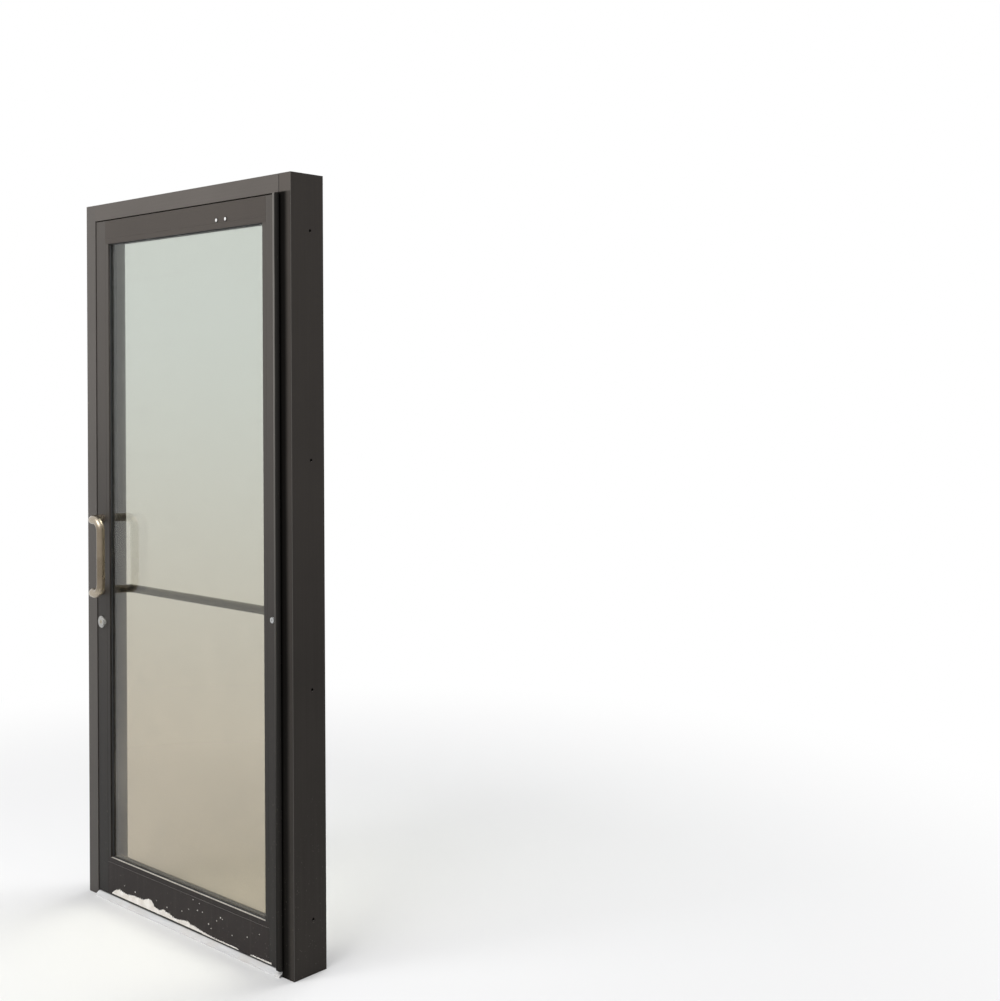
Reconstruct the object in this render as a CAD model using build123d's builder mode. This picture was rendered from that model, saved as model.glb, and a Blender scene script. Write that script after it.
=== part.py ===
"""Narrow-stile aluminium glass door with its tube frame, hung on a geared continuous hinge.

Millimetres. X runs along the wall from the lock side to the hinge side, +Y points into the
building, +Z is up. The origin is on the floor, in the middle of the frame's footprint.
"""
import math
import os

from build123d import *

os.makedirs("parts", exist_ok=True)

# Opening and frame tube
opening_width = 914.4
opening_height = 2133.6
jamb_face = 50.8
header_face = 50.8
frame_depth = 114.3
frame_wall = 3.2
edge_radius = 0.8
cut_overrun = 1.0
hexagon = 6

# Door leaf and the gaps around it
leaf_thickness = 44.45
leaf_recess = 2.0
leaf_wall = 3.2
lock_gap = 3.2
head_gap = 3.2
hinge_gap = 8.0
floor_gap = 5.0
stile_face = 50.8
top_rail_face = 57.2
bottom_rail_face = 98.4

# Glazing
stop_face = 15.9
stop_depth = 6.5
stop_wall = 1.6
stop_rib_height = 3.5
stop_rib_thickness = 2.4
lite_thickness = 6.0
glass_unit_thickness = 25.4
glass_bite = 9.5
gasket_start = 8.0
gasket_lip = 2.4
gasket_slot_at = 10.5
gasket_slot = 2.0
gasket_slot_depth = 2.4
gasket_boss = 5.0
spacer_height = 7.5
spacer_inset = 3.6
spacer_wall = 1.0
setting_block_length = 100.0

# Threshold
threshold_width = 127.0
threshold_height = 12.7
threshold_projection = 10.0
threshold_lip = 4.5
threshold_slope = 14.0
threshold_wall = 2.6
threshold_gap = 0.4
flute_count = 9
flute_pitch = 9.0
flute_width = 3.0
flute_depth = 1.0
sill_leg_offset = 30.0
sill_screw_end = 60.0
sill_screw_centre = 150.0

# Door stops on the frame, with bulb weatherstrip
door_stop_face = 15.9
door_stop_depth = 38.1
door_stop_wall = 1.8
seal_gap = 2.2
seal_clearance = 0.3
seal_height = 8.0
seal_slot = 2.2
seal_slot_clearance = 0.2
seal_barb = 1.2
seal_barb_angle = 60.0
seal_edge = 2.0
seal_flat = 0.1

# Geared continuous hinge
gear_pitch_radius = 4.4
gear_tooth_angle = 30.0
gear_addendum = 0.6
gear_dedendum = 0.85
gear_backlash = 0.25
gear_pressure_angle = 22.0
gear_tooth_count = 3
tooth_seat = 0.5
gear_bore_radius = 1.9
gear_stand_off = 5.6
hinge_plate = 2.6
hinge_plate_depth = 41.0
bead_clearance = 0.06
bead_web = 1.4
bead_web_clearance = 0.2
bead_web_seat = 0.2
bearing_web_clearance = 0.1
bead_swing = 45.0
cap_wall = 1.8
cap_clearance = 0.45
hinge_end_gap = 2.0
bearing_count = 4
bearing_height = 25.0
bearing_clearance = 0.2
hinge_screw_count = 8
hinge_screw_margin = 140.0
hinge_screw_near = 14.0
hinge_screw_far = 30.0

# Countersunk screw used for the hinge, threshold, strike and header clips
screw_radius = 2.4
screw_head_radius = 4.6
screw_head_height = 2.2
screw_length = 14.0
screw_clearance = 0.1
recess_span = 5.2
recess_width = 1.1
recess_depth = 1.5

# Corner blocks and tie rods
corner_block_height = 50.0
corner_block_length = 60.0
fit_gap = 0.3
tie_rod_radius = 4.75
tie_rod_clearance = 0.25
tie_nut_width = 14.3
tie_nut_height = 8.0
tie_access_radius = 9.0
corner_block_wall = 4.0
corner_block_pocket = 12.0
rod_stub = 3.0
nut_clearance = 0.05

# Header clips
clip_length = 44.0
clip_width = 90.0
clip_wall = 3.5
clip_screw_offset = 26.0
clip_screw_inset = 22.0

# Anchor holes in the jambs
anchor_count = 4
anchor_bottom = 150.0
anchor_top_margin = 103.6
anchor_hole_radius = 4.2
anchor_access_radius = 8.0

# Lock in the lock stile
backset = 28.6
lock_height = 868.0
case_width = 25.4
case_height = 136.0
case_depth = 42.5
case_wall = 2.0
faceplate_height = 152.0
faceplate_screw_radius = 2.0
faceplate_screw_head = 3.8
faceplate_screw_inset = 9.0
bolt_thickness = 12.7
bolt_width = 20.0
bolt_length = 43.0
bolt_nose_radius = 3.0
bolt_pivot_drop = 23.0
bolt_pivot_inset = 17.0
bolt_pin_radius = 3.0
bolt_play = 0.6
cylinder_radius = 14.6
cylinder_flange_radius = 15.4
cylinder_flange = 1.5
collar_radius = 20.0
collar_depth = 7.0
collar_taper = 12.0
plug_radius = 6.4
plug_clearance = 0.06
plug_proud = 0.6
keyway_width = 1.6
keyway_height = 8.0
cam_radius = 7.5
cam_reach = 12.5
cam_thickness = 2.4
turn_length = 30.0
turn_height = 16.0
turn_thickness = 6.0
turn_rose_radius = 9.4
turn_rose_depth = 3.0
keyway_depth = 12.0
strike_height = 112.0
strike_width = 28.0
strike_thickness = 1.6
strike_corner = 2.0
strike_screw_inset = 9.0

# Offset pull outside and push bar inside
grip_radius = 12.7
pull_centres = 228.6
pull_rise = 97.4
pull_projection = 50.8
pull_offset = 69.85
pull_bend_radius = 34.0
push_projection = 50.8
push_bend_radius = 38.0
handle_bolt_radius = 4.0
handle_bolt_grip = 18.0
handle_head_radius = 9.0
handle_head_height = 3.0
handle_head_taper = 20.0
socket_radius = 3.4
socket_depth = 2.2

# Overhead closer and its arms
pinion_setback = 202.2
pinion_stand_off = 30.0
closer_height = 44.0
closer_depth = 50.0
closer_short_end = 92.0
closer_long_end = 140.0
closer_foot = 7.0
closer_foot_corner = 1.0
closer_tube_step = 2.0
closer_tube_radius = 14.0
closer_neck_step = 8.0
end_plug_radius = 12.5
end_plug_step = 2.5
end_plug_hex = 7.0
end_plug_socket = 6.0
valve_radius = 2.6
valve_depth = 3.0
valve_aside = 15.0
boss_radius = 21.0
boss_below = 4.0
boss_above = 2.0
pinion_radius = 8.0
pinion_clearance = 0.06
main_arm_length = 268.0
forearm_length = 250.5
arm_end_radius = 10.5
arm_thickness = 6.0
arm_drop = 21.6
arm_gap = 4.0
elbow_pin_radius = 5.0
elbow_play = 0.45
closer_screw_radius = 2.9
closer_screw_head = 5.2
closer_screw_dome = 3.2
closer_screw_taper = 25.0
closer_screw_inset = 12.0
closer_screw_rise = 14.0
hub_wall = 6.0
hub_below = 3.0
hub_above = 5.0
pin_below = 2.0
pin_above = 2.5

# Closer arm shoe on the top rail
shoe_lead = 57.5
shoe_pivot_offset = 21.0
shoe_drop = 48.4
shoe_width = 74.0
shoe_height = 22.0
shoe_plate = 5.0
shoe_plate_rise = 2.5
shoe_corner = 4.0
shelf_radius = 10.0
forearm_lift = 0.5
stud_above = 2.0
shoe_bolt_pitch = 42.0
stud_radius = 5.0
stud_clearance = 0.06
sex_bolt_radius = 5.2
sex_bolt_head = 6.5
sex_bolt_dome = 2.4
sex_bolt_taper = 35.0
sex_bolt_clearance = 0.05
sleeve_wall = 2.0
sleeve_end_gap = 1.0

# Bottom sweep
sweep_height = 26.0
sweep_thickness = 4.5
sweep_corner = 0.8
fixing_slot_count = 4
fixing_slot_length = 10.0
fixing_slot_width = 5.0
fixing_slot_end = 60.0
sweep_fin = 1.6
sweep_clearance = 0.3
sweep_slot_clearance = 0.1
sweep_slot_depth = 6.0
sweep_end_gap = 3.0
sweep_rise = 2.0

# Places worked out from the sizes above
x_lock_jamb = -opening_width / 2
x_hinge_jamb = opening_width / 2
frame_height = opening_height + header_face
y_front = -frame_depth / 2
y_back = frame_depth / 2

x_leaf_lock = x_lock_jamb + lock_gap
x_leaf_hinge = x_hinge_jamb - hinge_gap
y_leaf_front = y_front + leaf_recess
y_leaf_back = y_leaf_front + leaf_thickness
y_leaf_mid = y_leaf_front + leaf_thickness / 2
z_leaf_bottom = threshold_height + floor_gap
z_leaf_top = opening_height - head_gap
leaf_height = z_leaf_top - z_leaf_bottom

x_daylight_lock = x_leaf_lock + stile_face
x_daylight_hinge = x_leaf_hinge - stile_face
z_daylight_bottom = z_leaf_bottom + bottom_rail_face
z_daylight_top = z_leaf_top - top_rail_face
rail_length = x_daylight_hinge - x_daylight_lock
x_leaf_mid = (x_leaf_lock + x_leaf_hinge) / 2
daylight_height = z_daylight_top - z_daylight_bottom

x_hinge_line = x_hinge_jamb - hinge_gap / 2
x_frame_gear = x_hinge_line + gear_pitch_radius
x_leaf_gear = x_hinge_line - gear_pitch_radius
y_gear = y_front - gear_stand_off
z_hinge_bottom = z_leaf_bottom + hinge_end_gap
hinge_length = z_leaf_top - z_hinge_bottom

y_stop_front = y_leaf_back + seal_gap
x_cylinder = x_leaf_lock + backset
x_hinge_handle = x_leaf_hinge - backset
pull_bottom_height = lock_height + pull_rise
z_pull_top = pull_bottom_height + pull_centres
pinion_x = x_hinge_jamb - pinion_setback
y_pinion = y_back + pinion_stand_off
shoe_x = pinion_x - shoe_lead
y_shoe_pivot = y_leaf_back + shoe_pivot_offset
z_shoe = z_leaf_top - shoe_drop
arm_top = opening_height - arm_drop
z_forearm_top = arm_top - arm_thickness - arm_gap


def placed(x, y, z, turn_x=0.0, turn_y=0.0, turn_z=0.0):
    """A place for a piece that was drawn at the origin, with its turn in degrees."""
    return Location((x, y, z), (turn_x, turn_y, turn_z))


# Frame: two full-height jambs with the header between them

def jamb(x_inner, side):
    """A rectangular tube, with anchor holes in its outer web and access holes over them."""
    x_outer = x_inner + side * jamb_face
    x_mid = (x_inner + x_outer) / 2
    with BuildPart() as tube:
        with BuildSketch():
            with Locations((x_mid, 0)):
                RectangleRounded(jamb_face, frame_depth, edge_radius)
                Rectangle(jamb_face - 2 * frame_wall, frame_depth - 2 * frame_wall, mode=Mode.SUBTRACT)
        extrude(amount=frame_height)
        for x_web, radius in ((x_outer, anchor_hole_radius), (x_inner, anchor_access_radius)):
            inward = -side if x_web == x_outer else side
            with BuildSketch(Plane.YZ.offset(x_web)):
                for index in range(anchor_count):
                    with Locations((y_anchor, anchor_bottom + index * anchor_pitch)):
                        Circle(radius)
            extrude(amount=inward * frame_wall, mode=Mode.SUBTRACT)
    return tube.part


y_anchor = y_stop_front + door_stop_depth / 2
anchor_pitch = (opening_height - anchor_bottom - anchor_top_margin) / (anchor_count - 1)

# The bolt swings down out of the case, so its slots are taller than the bolt
x_bolt_pivot = x_leaf_lock + bolt_pivot_inset
z_bolt_pivot = lock_height - bolt_pivot_drop
slot_half_width = bolt_thickness / 2 + bolt_play
bolt_swing_radius = math.hypot(bolt_length, bolt_width / 2) + bolt_play


def bolt_slot_top(x_plane):
    """Top of the swept bolt where it crosses an upright plane."""
    return z_bolt_pivot + math.sqrt(bolt_swing_radius ** 2 - (x_plane - x_bolt_pivot) ** 2)


z_slot_bottom = z_bolt_pivot - bolt_width / 2 - bolt_play
z_case_slot_top = bolt_slot_top(x_leaf_lock + leaf_wall)
z_strike_slot_top = bolt_slot_top(x_lock_jamb)
z_strike_mid = (z_slot_bottom + z_strike_slot_top) / 2

strike_screw_rise = strike_height / 2 - strike_screw_inset
strike_screws = [z_strike_mid - strike_screw_rise, z_strike_mid + strike_screw_rise]

with BuildPart() as lock_jamb:
    add(jamb(x_lock_jamb, -1))
    with BuildSketch(Plane.YZ.offset(x_lock_jamb)):
        with Locations((y_leaf_mid, z_strike_mid)):
            Rectangle(strike_width + 2 * screw_clearance, strike_height + 2 * screw_clearance)
    extrude(amount=-strike_thickness, mode=Mode.SUBTRACT)
    with BuildSketch(Plane.YZ.offset(x_lock_jamb)):
        with Locations((y_leaf_mid, z_strike_mid)):
            Rectangle(2 * slot_half_width, z_strike_slot_top - z_slot_bottom)
    extrude(amount=-frame_wall, mode=Mode.SUBTRACT)
    with Locations(*[placed(x_lock_jamb, y_leaf_mid, z, 0, 90) for z in strike_screws]):
        CounterSinkHole(
            screw_radius + screw_clearance, screw_head_radius + screw_clearance,
            frame_wall, counter_sink_angle=90)
lock_jamb.part.label = "lock_jamb"
export_step(lock_jamb.part, "parts/lock_jamb.step")

hinge_screw_pitch = (hinge_length - 2 * hinge_screw_margin) / (hinge_screw_count - 1)
hinge_screw_rows = (y_front + hinge_screw_near, y_front + hinge_screw_far)
hinge_screws = [
    (hinge_screw_rows[index % 2], z_hinge_bottom + hinge_screw_margin + index * hinge_screw_pitch)
    for index in range(hinge_screw_count)
]

clip_screw_places = [
    (side * (opening_width / 2 - clip_screw_inset), y)
    for side in (-1, 1)
    for y in (-clip_screw_offset, clip_screw_offset)
]

with BuildPart() as hinge_jamb:
    add(jamb(x_hinge_jamb, 1))
    with BuildSketch(Plane.YZ.offset(x_hinge_jamb)):
        with Locations(*hinge_screws):
            Circle(screw_radius + screw_clearance)
    extrude(amount=frame_wall, mode=Mode.SUBTRACT)
hinge_jamb.part.label = "hinge_jamb"
export_step(hinge_jamb.part, "parts/hinge_jamb.step")

z_closer = opening_height + header_face / 2
closer_screw_columns = (
    pinion_x - closer_short_end + closer_screw_inset,
    pinion_x + closer_long_end - closer_screw_inset)
closer_screw_places = [
    (x, z_closer + rise)
    for x in closer_screw_columns
    for rise in (-closer_screw_rise, closer_screw_rise)
]

with BuildPart() as header:
    with BuildSketch(Plane.YZ.offset(x_lock_jamb)):
        with Locations((0, opening_height + header_face / 2)):
            RectangleRounded(frame_depth, header_face, edge_radius)
            Rectangle(frame_depth - 2 * frame_wall, header_face - 2 * frame_wall, mode=Mode.SUBTRACT)
    extrude(amount=opening_width)
    with BuildSketch(Plane.XZ.offset(-y_back)):
        with Locations(*closer_screw_places):
            Circle(closer_screw_radius + screw_clearance)
    extrude(amount=frame_wall, mode=Mode.SUBTRACT)
    with Locations(*[placed(x, y, opening_height, 180) for x, y in clip_screw_places]):
        CounterSinkHole(
            screw_radius + screw_clearance, screw_head_radius + screw_clearance,
            frame_wall, counter_sink_angle=90)
header.part.label = "header"
export_step(header.part, "parts/header.step")

# Shear clips: channels fixed to the jambs, over which the header ends slide

clip_height = header_face - 2 * frame_wall - 2 * fit_gap
z_clip_mid = opening_height + header_face / 2

with BuildPart() as header_clips:
    for side in (-1, 1):
        x_jamb = side * opening_width / 2
        with BuildSketch(Plane.XZ.offset(clip_width / 2)):
            with Locations((x_jamb - side * clip_length / 2, z_clip_mid)):
                Rectangle(clip_length, clip_height)
            with Locations((x_jamb - side * (clip_length / 2 + clip_wall), z_clip_mid)):
                Rectangle(clip_length, clip_height - 2 * clip_wall, mode=Mode.SUBTRACT)
        extrude(amount=-clip_width)
    with Locations(*[placed(x, y, z_clip_mid - clip_height / 2, 180) for x, y in clip_screw_places]):
        Hole(screw_radius + screw_clearance, 2 * clip_wall)
header_clips.part.label = "header_clips"
export_step(header_clips.part, "parts/header_clips.step")

# Threshold: a fluted saddle, hollow underneath, between the jambs

y_sill_front = y_front - threshold_projection
y_sill_back = y_sill_front + threshold_width
y_sill_mid = (y_sill_front + y_sill_back) / 2
sill_length = opening_width - 2 * threshold_gap
sill_leg_height = threshold_height - threshold_wall / 2
sill_screw_x = (opening_width / 2 - sill_screw_end, sill_screw_centre)
sill_screw_y = sill_leg_offset / 2
threshold_screw_places = [(side * x, sill_screw_y) for side in (-1, 1) for x in sill_screw_x]

with BuildPart() as threshold:
    with BuildSketch(Plane.YZ.offset(-sill_length / 2)):
        with BuildLine():
            Polyline(
                (y_sill_front, 0),
                (y_sill_front, threshold_lip),
                (y_sill_front + threshold_slope, threshold_height),
                (y_sill_back - threshold_slope, threshold_height),
                (y_sill_back, threshold_lip),
                (y_sill_back, 0),
                close=True)
        make_face()
        with BuildLine():
            Polyline(
                (y_sill_front + threshold_wall, 0),
                (y_sill_front + threshold_wall, threshold_lip - threshold_wall / 2),
                (y_sill_front + threshold_slope, threshold_height - threshold_wall),
                (y_sill_back - threshold_slope, threshold_height - threshold_wall),
                (y_sill_back - threshold_wall, threshold_lip - threshold_wall / 2),
                (y_sill_back - threshold_wall, 0),
                close=True)
        make_face(mode=Mode.SUBTRACT)
        for y_leg in (-sill_leg_offset, 0, sill_leg_offset):
            with Locations((y_leg, sill_leg_height / 2)):
                Rectangle(threshold_wall, sill_leg_height)
        with Locations((y_sill_mid, threshold_height)):
            with GridLocations(flute_pitch, 0, flute_count, 1):
                Rectangle(flute_width, 2 * flute_depth, mode=Mode.SUBTRACT)
    extrude(amount=sill_length)
    with Locations(*[placed(x, y, threshold_height) for x, y in threshold_screw_places]):
        CounterSinkHole(
            screw_radius + screw_clearance, screw_head_radius + screw_clearance,
            2 * threshold_wall, counter_sink_angle=90)
threshold.part.label = "threshold"
export_step(threshold.part, "parts/threshold.step")

# Countersunk screws

with BuildSketch() as recess_section:
    Rectangle(recess_width, recess_span)
    Rectangle(recess_span, recess_width)
cross_recess = recess_section.sketch


def countersunk_screw(length):
    """A screw with its flat head at Z = 0 and its shank down."""
    with BuildPart() as blank:
        with BuildSketch(Plane.XZ):
            with BuildLine():
                Polyline(
                    (0, 0),
                    (screw_head_radius, 0),
                    (screw_radius, -screw_head_height),
                    (screw_radius, -length),
                    (0, -length),
                    close=True)
            make_face()
        revolve(axis=Axis.Z)
        with BuildSketch():
            add(cross_recess)
        extrude(amount=-recess_depth, mode=Mode.SUBTRACT)
    return blank.part


screw = countersunk_screw(screw_length)
sill_screw = countersunk_screw(threshold_height)

with BuildPart() as frame_screws:
    with Locations(*[placed(x, y, threshold_height) for x, y in threshold_screw_places]):
        add(sill_screw)
    with Locations(*[placed(x_lock_jamb, y_leaf_mid, z, 0, 90) for z in strike_screws]):
        add(screw)
    with Locations(*[placed(x, y, opening_height, 180) for x, y in clip_screw_places]):
        add(screw)
frame_screws.part.label = "frame_screws"
export_step(frame_screws.part, "parts/frame_screws.step")

with BuildPart() as strike_plate:
    with BuildSketch(Plane.YZ.offset(x_lock_jamb)):
        with Locations((y_leaf_mid, z_strike_mid)):
            RectangleRounded(strike_width, strike_height, strike_corner)
            Rectangle(2 * slot_half_width, z_strike_slot_top - z_slot_bottom, mode=Mode.SUBTRACT)
    extrude(amount=-strike_thickness)
    with Locations(*[placed(x_lock_jamb, y_leaf_mid, z, 0, 90) for z in strike_screws]):
        CounterSinkHole(
            screw_radius + screw_clearance, screw_head_radius + screw_clearance,
            strike_thickness, counter_sink_angle=90)
strike_plate.part.label = "strike_plate"
export_step(strike_plate.part, "parts/strike_plate.step")

# Door stops: snapped hollow strips, with a slot in the front wall for the weatherstrip

z_side_stop_bottom = threshold_height + fit_gap
side_stop_length = opening_height - z_side_stop_bottom
seal_inset = door_stop_face - seal_height / 2 - seal_edge
seal_bulb = seal_gap - seal_clearance


def side_door_stop(x_jamb, side):
    """A stop strip on one jamb, side giving the way it stands into the opening."""
    x_mid = x_jamb + side * door_stop_face / 2
    y_mid = y_stop_front + door_stop_depth / 2
    with BuildPart() as strip:
        with BuildSketch(Plane.XY.offset(z_side_stop_bottom)):
            with Locations((x_mid, y_mid)):
                RectangleRounded(door_stop_face, door_stop_depth, edge_radius)
                Rectangle(
                    door_stop_face - 2 * door_stop_wall,
                    door_stop_depth - 2 * door_stop_wall,
                    mode=Mode.SUBTRACT)
            with Locations((x_jamb + side * seal_inset, y_stop_front)):
                Rectangle(seal_slot, 3 * door_stop_wall, mode=Mode.SUBTRACT)
        extrude(amount=side_stop_length)
    return strip.part


with BuildPart() as lock_door_stop:
    add(side_door_stop(x_lock_jamb, 1))
lock_door_stop.part.label = "lock_door_stop"
export_step(lock_door_stop.part, "parts/lock_door_stop.step")

with BuildPart() as hinge_door_stop:
    add(side_door_stop(x_hinge_jamb, -1))
hinge_door_stop.part.label = "hinge_door_stop"
export_step(hinge_door_stop.part, "parts/hinge_door_stop.step")

head_stop_length = opening_width - 2 * door_stop_face
y_stop_mid = y_stop_front + door_stop_depth / 2
z_head_seal = opening_height - seal_inset

with BuildPart() as head_door_stop:
    with BuildSketch(Plane.YZ.offset(-head_stop_length / 2)):
        with Locations((y_stop_mid, opening_height - door_stop_face / 2)):
            RectangleRounded(door_stop_depth, door_stop_face, edge_radius)
            Rectangle(
                door_stop_depth - 2 * door_stop_wall,
                door_stop_face - 2 * door_stop_wall,
                mode=Mode.SUBTRACT)
        with Locations((y_stop_front, z_head_seal)):
            Rectangle(3 * door_stop_wall, seal_slot, mode=Mode.SUBTRACT)
    extrude(amount=head_stop_length)
head_door_stop.part.label = "head_door_stop"
export_step(head_door_stop.part, "parts/head_door_stop.step")


def seal_profile():
    """Weatherstrip section: a flattened bulb towards the leaf and a barbed leg in the slot.

    The section is drawn with its leg along +Y and the stop's front wall at Y = 0.
    """
    with BuildSketch() as profile:
        with Locations((0, -seal_bulb / 2)):
            RectangleRounded(seal_height, seal_bulb, seal_bulb / 2 - seal_flat)
        with Locations((0, door_stop_wall / 2)):
            Rectangle(seal_slot - 2 * seal_slot_clearance, door_stop_wall)
        with Locations((0, door_stop_wall + seal_barb / 2)):
            Trapezoid(seal_slot + seal_barb, seal_barb, seal_barb_angle)
    return profile.sketch


with BuildPart() as lock_weatherstrip:
    with BuildSketch(Plane.XY.offset(z_side_stop_bottom)):
        with Locations((x_lock_jamb + seal_inset, y_stop_front)):
            add(seal_profile())
    extrude(amount=side_stop_length)
lock_weatherstrip.part.label = "lock_weatherstrip"
export_step(lock_weatherstrip.part, "parts/lock_weatherstrip.step")

with BuildPart() as hinge_weatherstrip:
    with BuildSketch(Plane.XY.offset(z_side_stop_bottom)):
        with Locations((x_hinge_jamb - seal_inset, y_stop_front)):
            add(seal_profile())
    extrude(amount=side_stop_length)
hinge_weatherstrip.part.label = "hinge_weatherstrip"
export_step(hinge_weatherstrip.part, "parts/hinge_weatherstrip.step")

head_seal_length = head_stop_length
head_seal_plane = Plane(
    origin=(-head_seal_length / 2, y_stop_front, z_head_seal),
    x_dir=(0, 0, -1),
    z_dir=(1, 0, 0))

with BuildPart() as head_weatherstrip:
    with BuildSketch(head_seal_plane):
        add(seal_profile())
    extrude(amount=head_seal_length)
head_weatherstrip.part.label = "head_weatherstrip"
export_step(head_weatherstrip.part, "parts/head_weatherstrip.step")

# Geared continuous hinge: two toothed leaves that roll on each other inside a cap

root_radius = gear_pitch_radius - gear_dedendum
tip_radius = gear_pitch_radius + gear_addendum
cap_inner_radius = tip_radius + cap_clearance
cap_outer_radius = cap_inner_radius + cap_wall
bead_radius = gear_bore_radius - bead_clearance
web_reach = cap_inner_radius + bead_web_seat
slot_half = bead_web / 2 + bead_web_clearance
slot_reach = 2 * tip_radius
tooth_half = (math.pi * gear_pitch_radius * gear_tooth_angle / 180 / 2 - gear_backlash) / 2
tooth_slope = math.tan(math.radians(gear_pressure_angle))
x_plate_inner = (hinge_gap / 2 - hinge_plate) - gear_pitch_radius
x_plate_outer = x_plate_inner + hinge_plate
bearing_pitch = hinge_length / (bearing_count + 1)
bearing_places = [z_hinge_bottom + bearing_pitch * (index + 1) for index in range(bearing_count)]


def gear_leaf_sketch(tooth_angles):
    """Section of the frame-side leaf about its gear's centre, teeth towards -X, plate towards +Y."""
    tip_half = tooth_half - gear_addendum * tooth_slope
    root_half = tooth_half + gear_dedendum * tooth_slope
    y_plate_start = gear_stand_off
    y_plate_end = gear_stand_off + hinge_plate_depth
    with BuildSketch() as section:
        Circle(root_radius)
        for angle in tooth_angles:
            with BuildLine(Plane.XY.rotated((0, 0, angle))):
                Polyline(
                    (root_radius - tooth_seat, -root_half),
                    (root_radius, -root_half),
                    (tip_radius, -tip_half),
                    (tip_radius, tip_half),
                    (root_radius, root_half),
                    (root_radius - tooth_seat, root_half),
                    close=True)
            make_face()
        with Locations(((x_plate_inner + x_plate_outer) / 2, y_plate_end / 2)):
            Rectangle(hinge_plate, y_plate_end)
        Circle(gear_bore_radius, mode=Mode.SUBTRACT)
        for angle in (-90, -90 + bead_swing):
            with BuildLine(Plane.XY.rotated((0, 0, angle))):
                Polyline(
                    (0, -slot_half), (slot_reach, -slot_half),
                    (slot_reach, slot_half), (0, slot_half), close=True)
            make_face(mode=Mode.SUBTRACT)
        swing = math.radians(bead_swing)
        with BuildLine():
            Polyline(
                (0, 0),
                (0, -slot_reach),
                (slot_reach * math.tan(swing / 2), -slot_reach),
                (slot_reach * math.sin(swing), -slot_reach * math.cos(swing)),
                close=True)
        make_face(mode=Mode.SUBTRACT)
    return section.sketch


def bearing_pockets(x_gear):
    """Round cuts through a gear, one for each thrust bearing."""
    with BuildPart() as pockets:
        for z in bearing_places:
            low = z - bearing_height / 2 - bearing_clearance
            with BuildSketch(Plane.XY.offset(low)):
                with Locations((x_gear, y_gear)):
                    Circle(cap_inner_radius)
            extrude(amount=bearing_height + 2 * bearing_clearance)
    return pockets.part


frame_pockets = bearing_pockets(x_frame_gear)
leaf_pockets = bearing_pockets(x_leaf_gear)
frame_teeth = [180 + index * gear_tooth_angle for index in range(gear_tooth_count)]
leaf_teeth = [angle - gear_tooth_angle / 2 for angle in frame_teeth]
frame_gear_section = gear_leaf_sketch(frame_teeth)
leaf_gear_section = mirror(gear_leaf_sketch(leaf_teeth), about=Plane.YZ)

with BuildPart() as hinge_frame_leaf:
    with BuildSketch(Plane.XY.offset(z_hinge_bottom)):
        with Locations((x_frame_gear, y_gear)):
            add(frame_gear_section)
    extrude(amount=hinge_length)
    add(frame_pockets, mode=Mode.SUBTRACT)
    with Locations(*[placed(x_hinge_jamb - hinge_plate, y, z, 0, -90) for y, z in hinge_screws]):
        CounterSinkHole(
            screw_radius + screw_clearance, screw_head_radius + screw_clearance,
            2 * hinge_plate, counter_sink_angle=90)
hinge_frame_leaf.part.label = "hinge_frame_leaf"
export_step(hinge_frame_leaf.part, "parts/hinge_frame_leaf.step")

with BuildPart() as hinge_door_leaf:
    with BuildSketch(Plane.XY.offset(z_hinge_bottom)):
        with Locations((x_leaf_gear, y_gear)):
            add(leaf_gear_section)
    extrude(amount=hinge_length)
    add(leaf_pockets, mode=Mode.SUBTRACT)
    with Locations(*[placed(x_leaf_hinge + hinge_plate, y, z, 0, 90) for y, z in hinge_screws]):
        CounterSinkHole(
            screw_radius + screw_clearance, screw_head_radius + screw_clearance,
            2 * hinge_plate, counter_sink_angle=90)
hinge_door_leaf.part.label = "hinge_door_leaf"
export_step(hinge_door_leaf.part, "parts/hinge_door_leaf.step")

with BuildPart() as hinge_frame_screws:
    with Locations(*[placed(x_hinge_jamb - hinge_plate, y, z, 0, -90) for y, z in hinge_screws]):
        add(screw)
hinge_frame_screws.part.label = "hinge_frame_screws"
export_step(hinge_frame_screws.part, "parts/hinge_frame_screws.step")

with BuildPart() as hinge_door_screws:
    with Locations(*[placed(x_leaf_hinge + hinge_plate, y, z, 0, 90) for y, z in hinge_screws]):
        add(screw)
hinge_door_screws.part.label = "hinge_door_screws"
export_step(hinge_door_screws.part, "parts/hinge_door_screws.step")

with BuildPart() as hinge_cap:
    with BuildSketch(Plane.XY.offset(z_hinge_bottom)):
        for radius, mode in ((cap_outer_radius, Mode.ADD), (cap_inner_radius, Mode.SUBTRACT)):
            with Locations((x_hinge_line, y_gear)):
                SlotCenterToCenter(2 * gear_pitch_radius, 2 * radius, mode=mode)
        with Locations((x_hinge_line, y_gear + cap_outer_radius / 2)):
            Rectangle(4 * cap_outer_radius, cap_outer_radius, mode=Mode.SUBTRACT)
        for x in (x_frame_gear, x_leaf_gear):
            with Locations((x, y_gear)):
                Circle(bead_radius)
            with Locations((x, y_gear - web_reach / 2)):
                Rectangle(bead_web, web_reach)
    extrude(amount=hinge_length)
hinge_cap.part.label = "hinge_cap"
export_step(hinge_cap.part, "parts/hinge_cap.step")

with BuildPart() as hinge_bearings:
    for z in bearing_places:
        with BuildSketch(Plane.XY.offset(z - bearing_height / 2)):
            for x in (x_frame_gear, x_leaf_gear):
                with Locations((x, y_gear)):
                    Circle(tip_radius)
            for x in (x_frame_gear, x_leaf_gear):
                with Locations((x, y_gear)):
                    Circle(gear_bore_radius, mode=Mode.SUBTRACT)
                with Locations((x, y_gear - tip_radius / 2)):
                    Rectangle(
                        bead_web + 2 * bearing_web_clearance,
                        tip_radius + cut_overrun,
                        mode=Mode.SUBTRACT)
        extrude(amount=bearing_height)
hinge_bearings.part.label = "hinge_bearings"
export_step(hinge_bearings.part, "parts/hinge_bearings.step")

# Leaf stiles and rails

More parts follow.
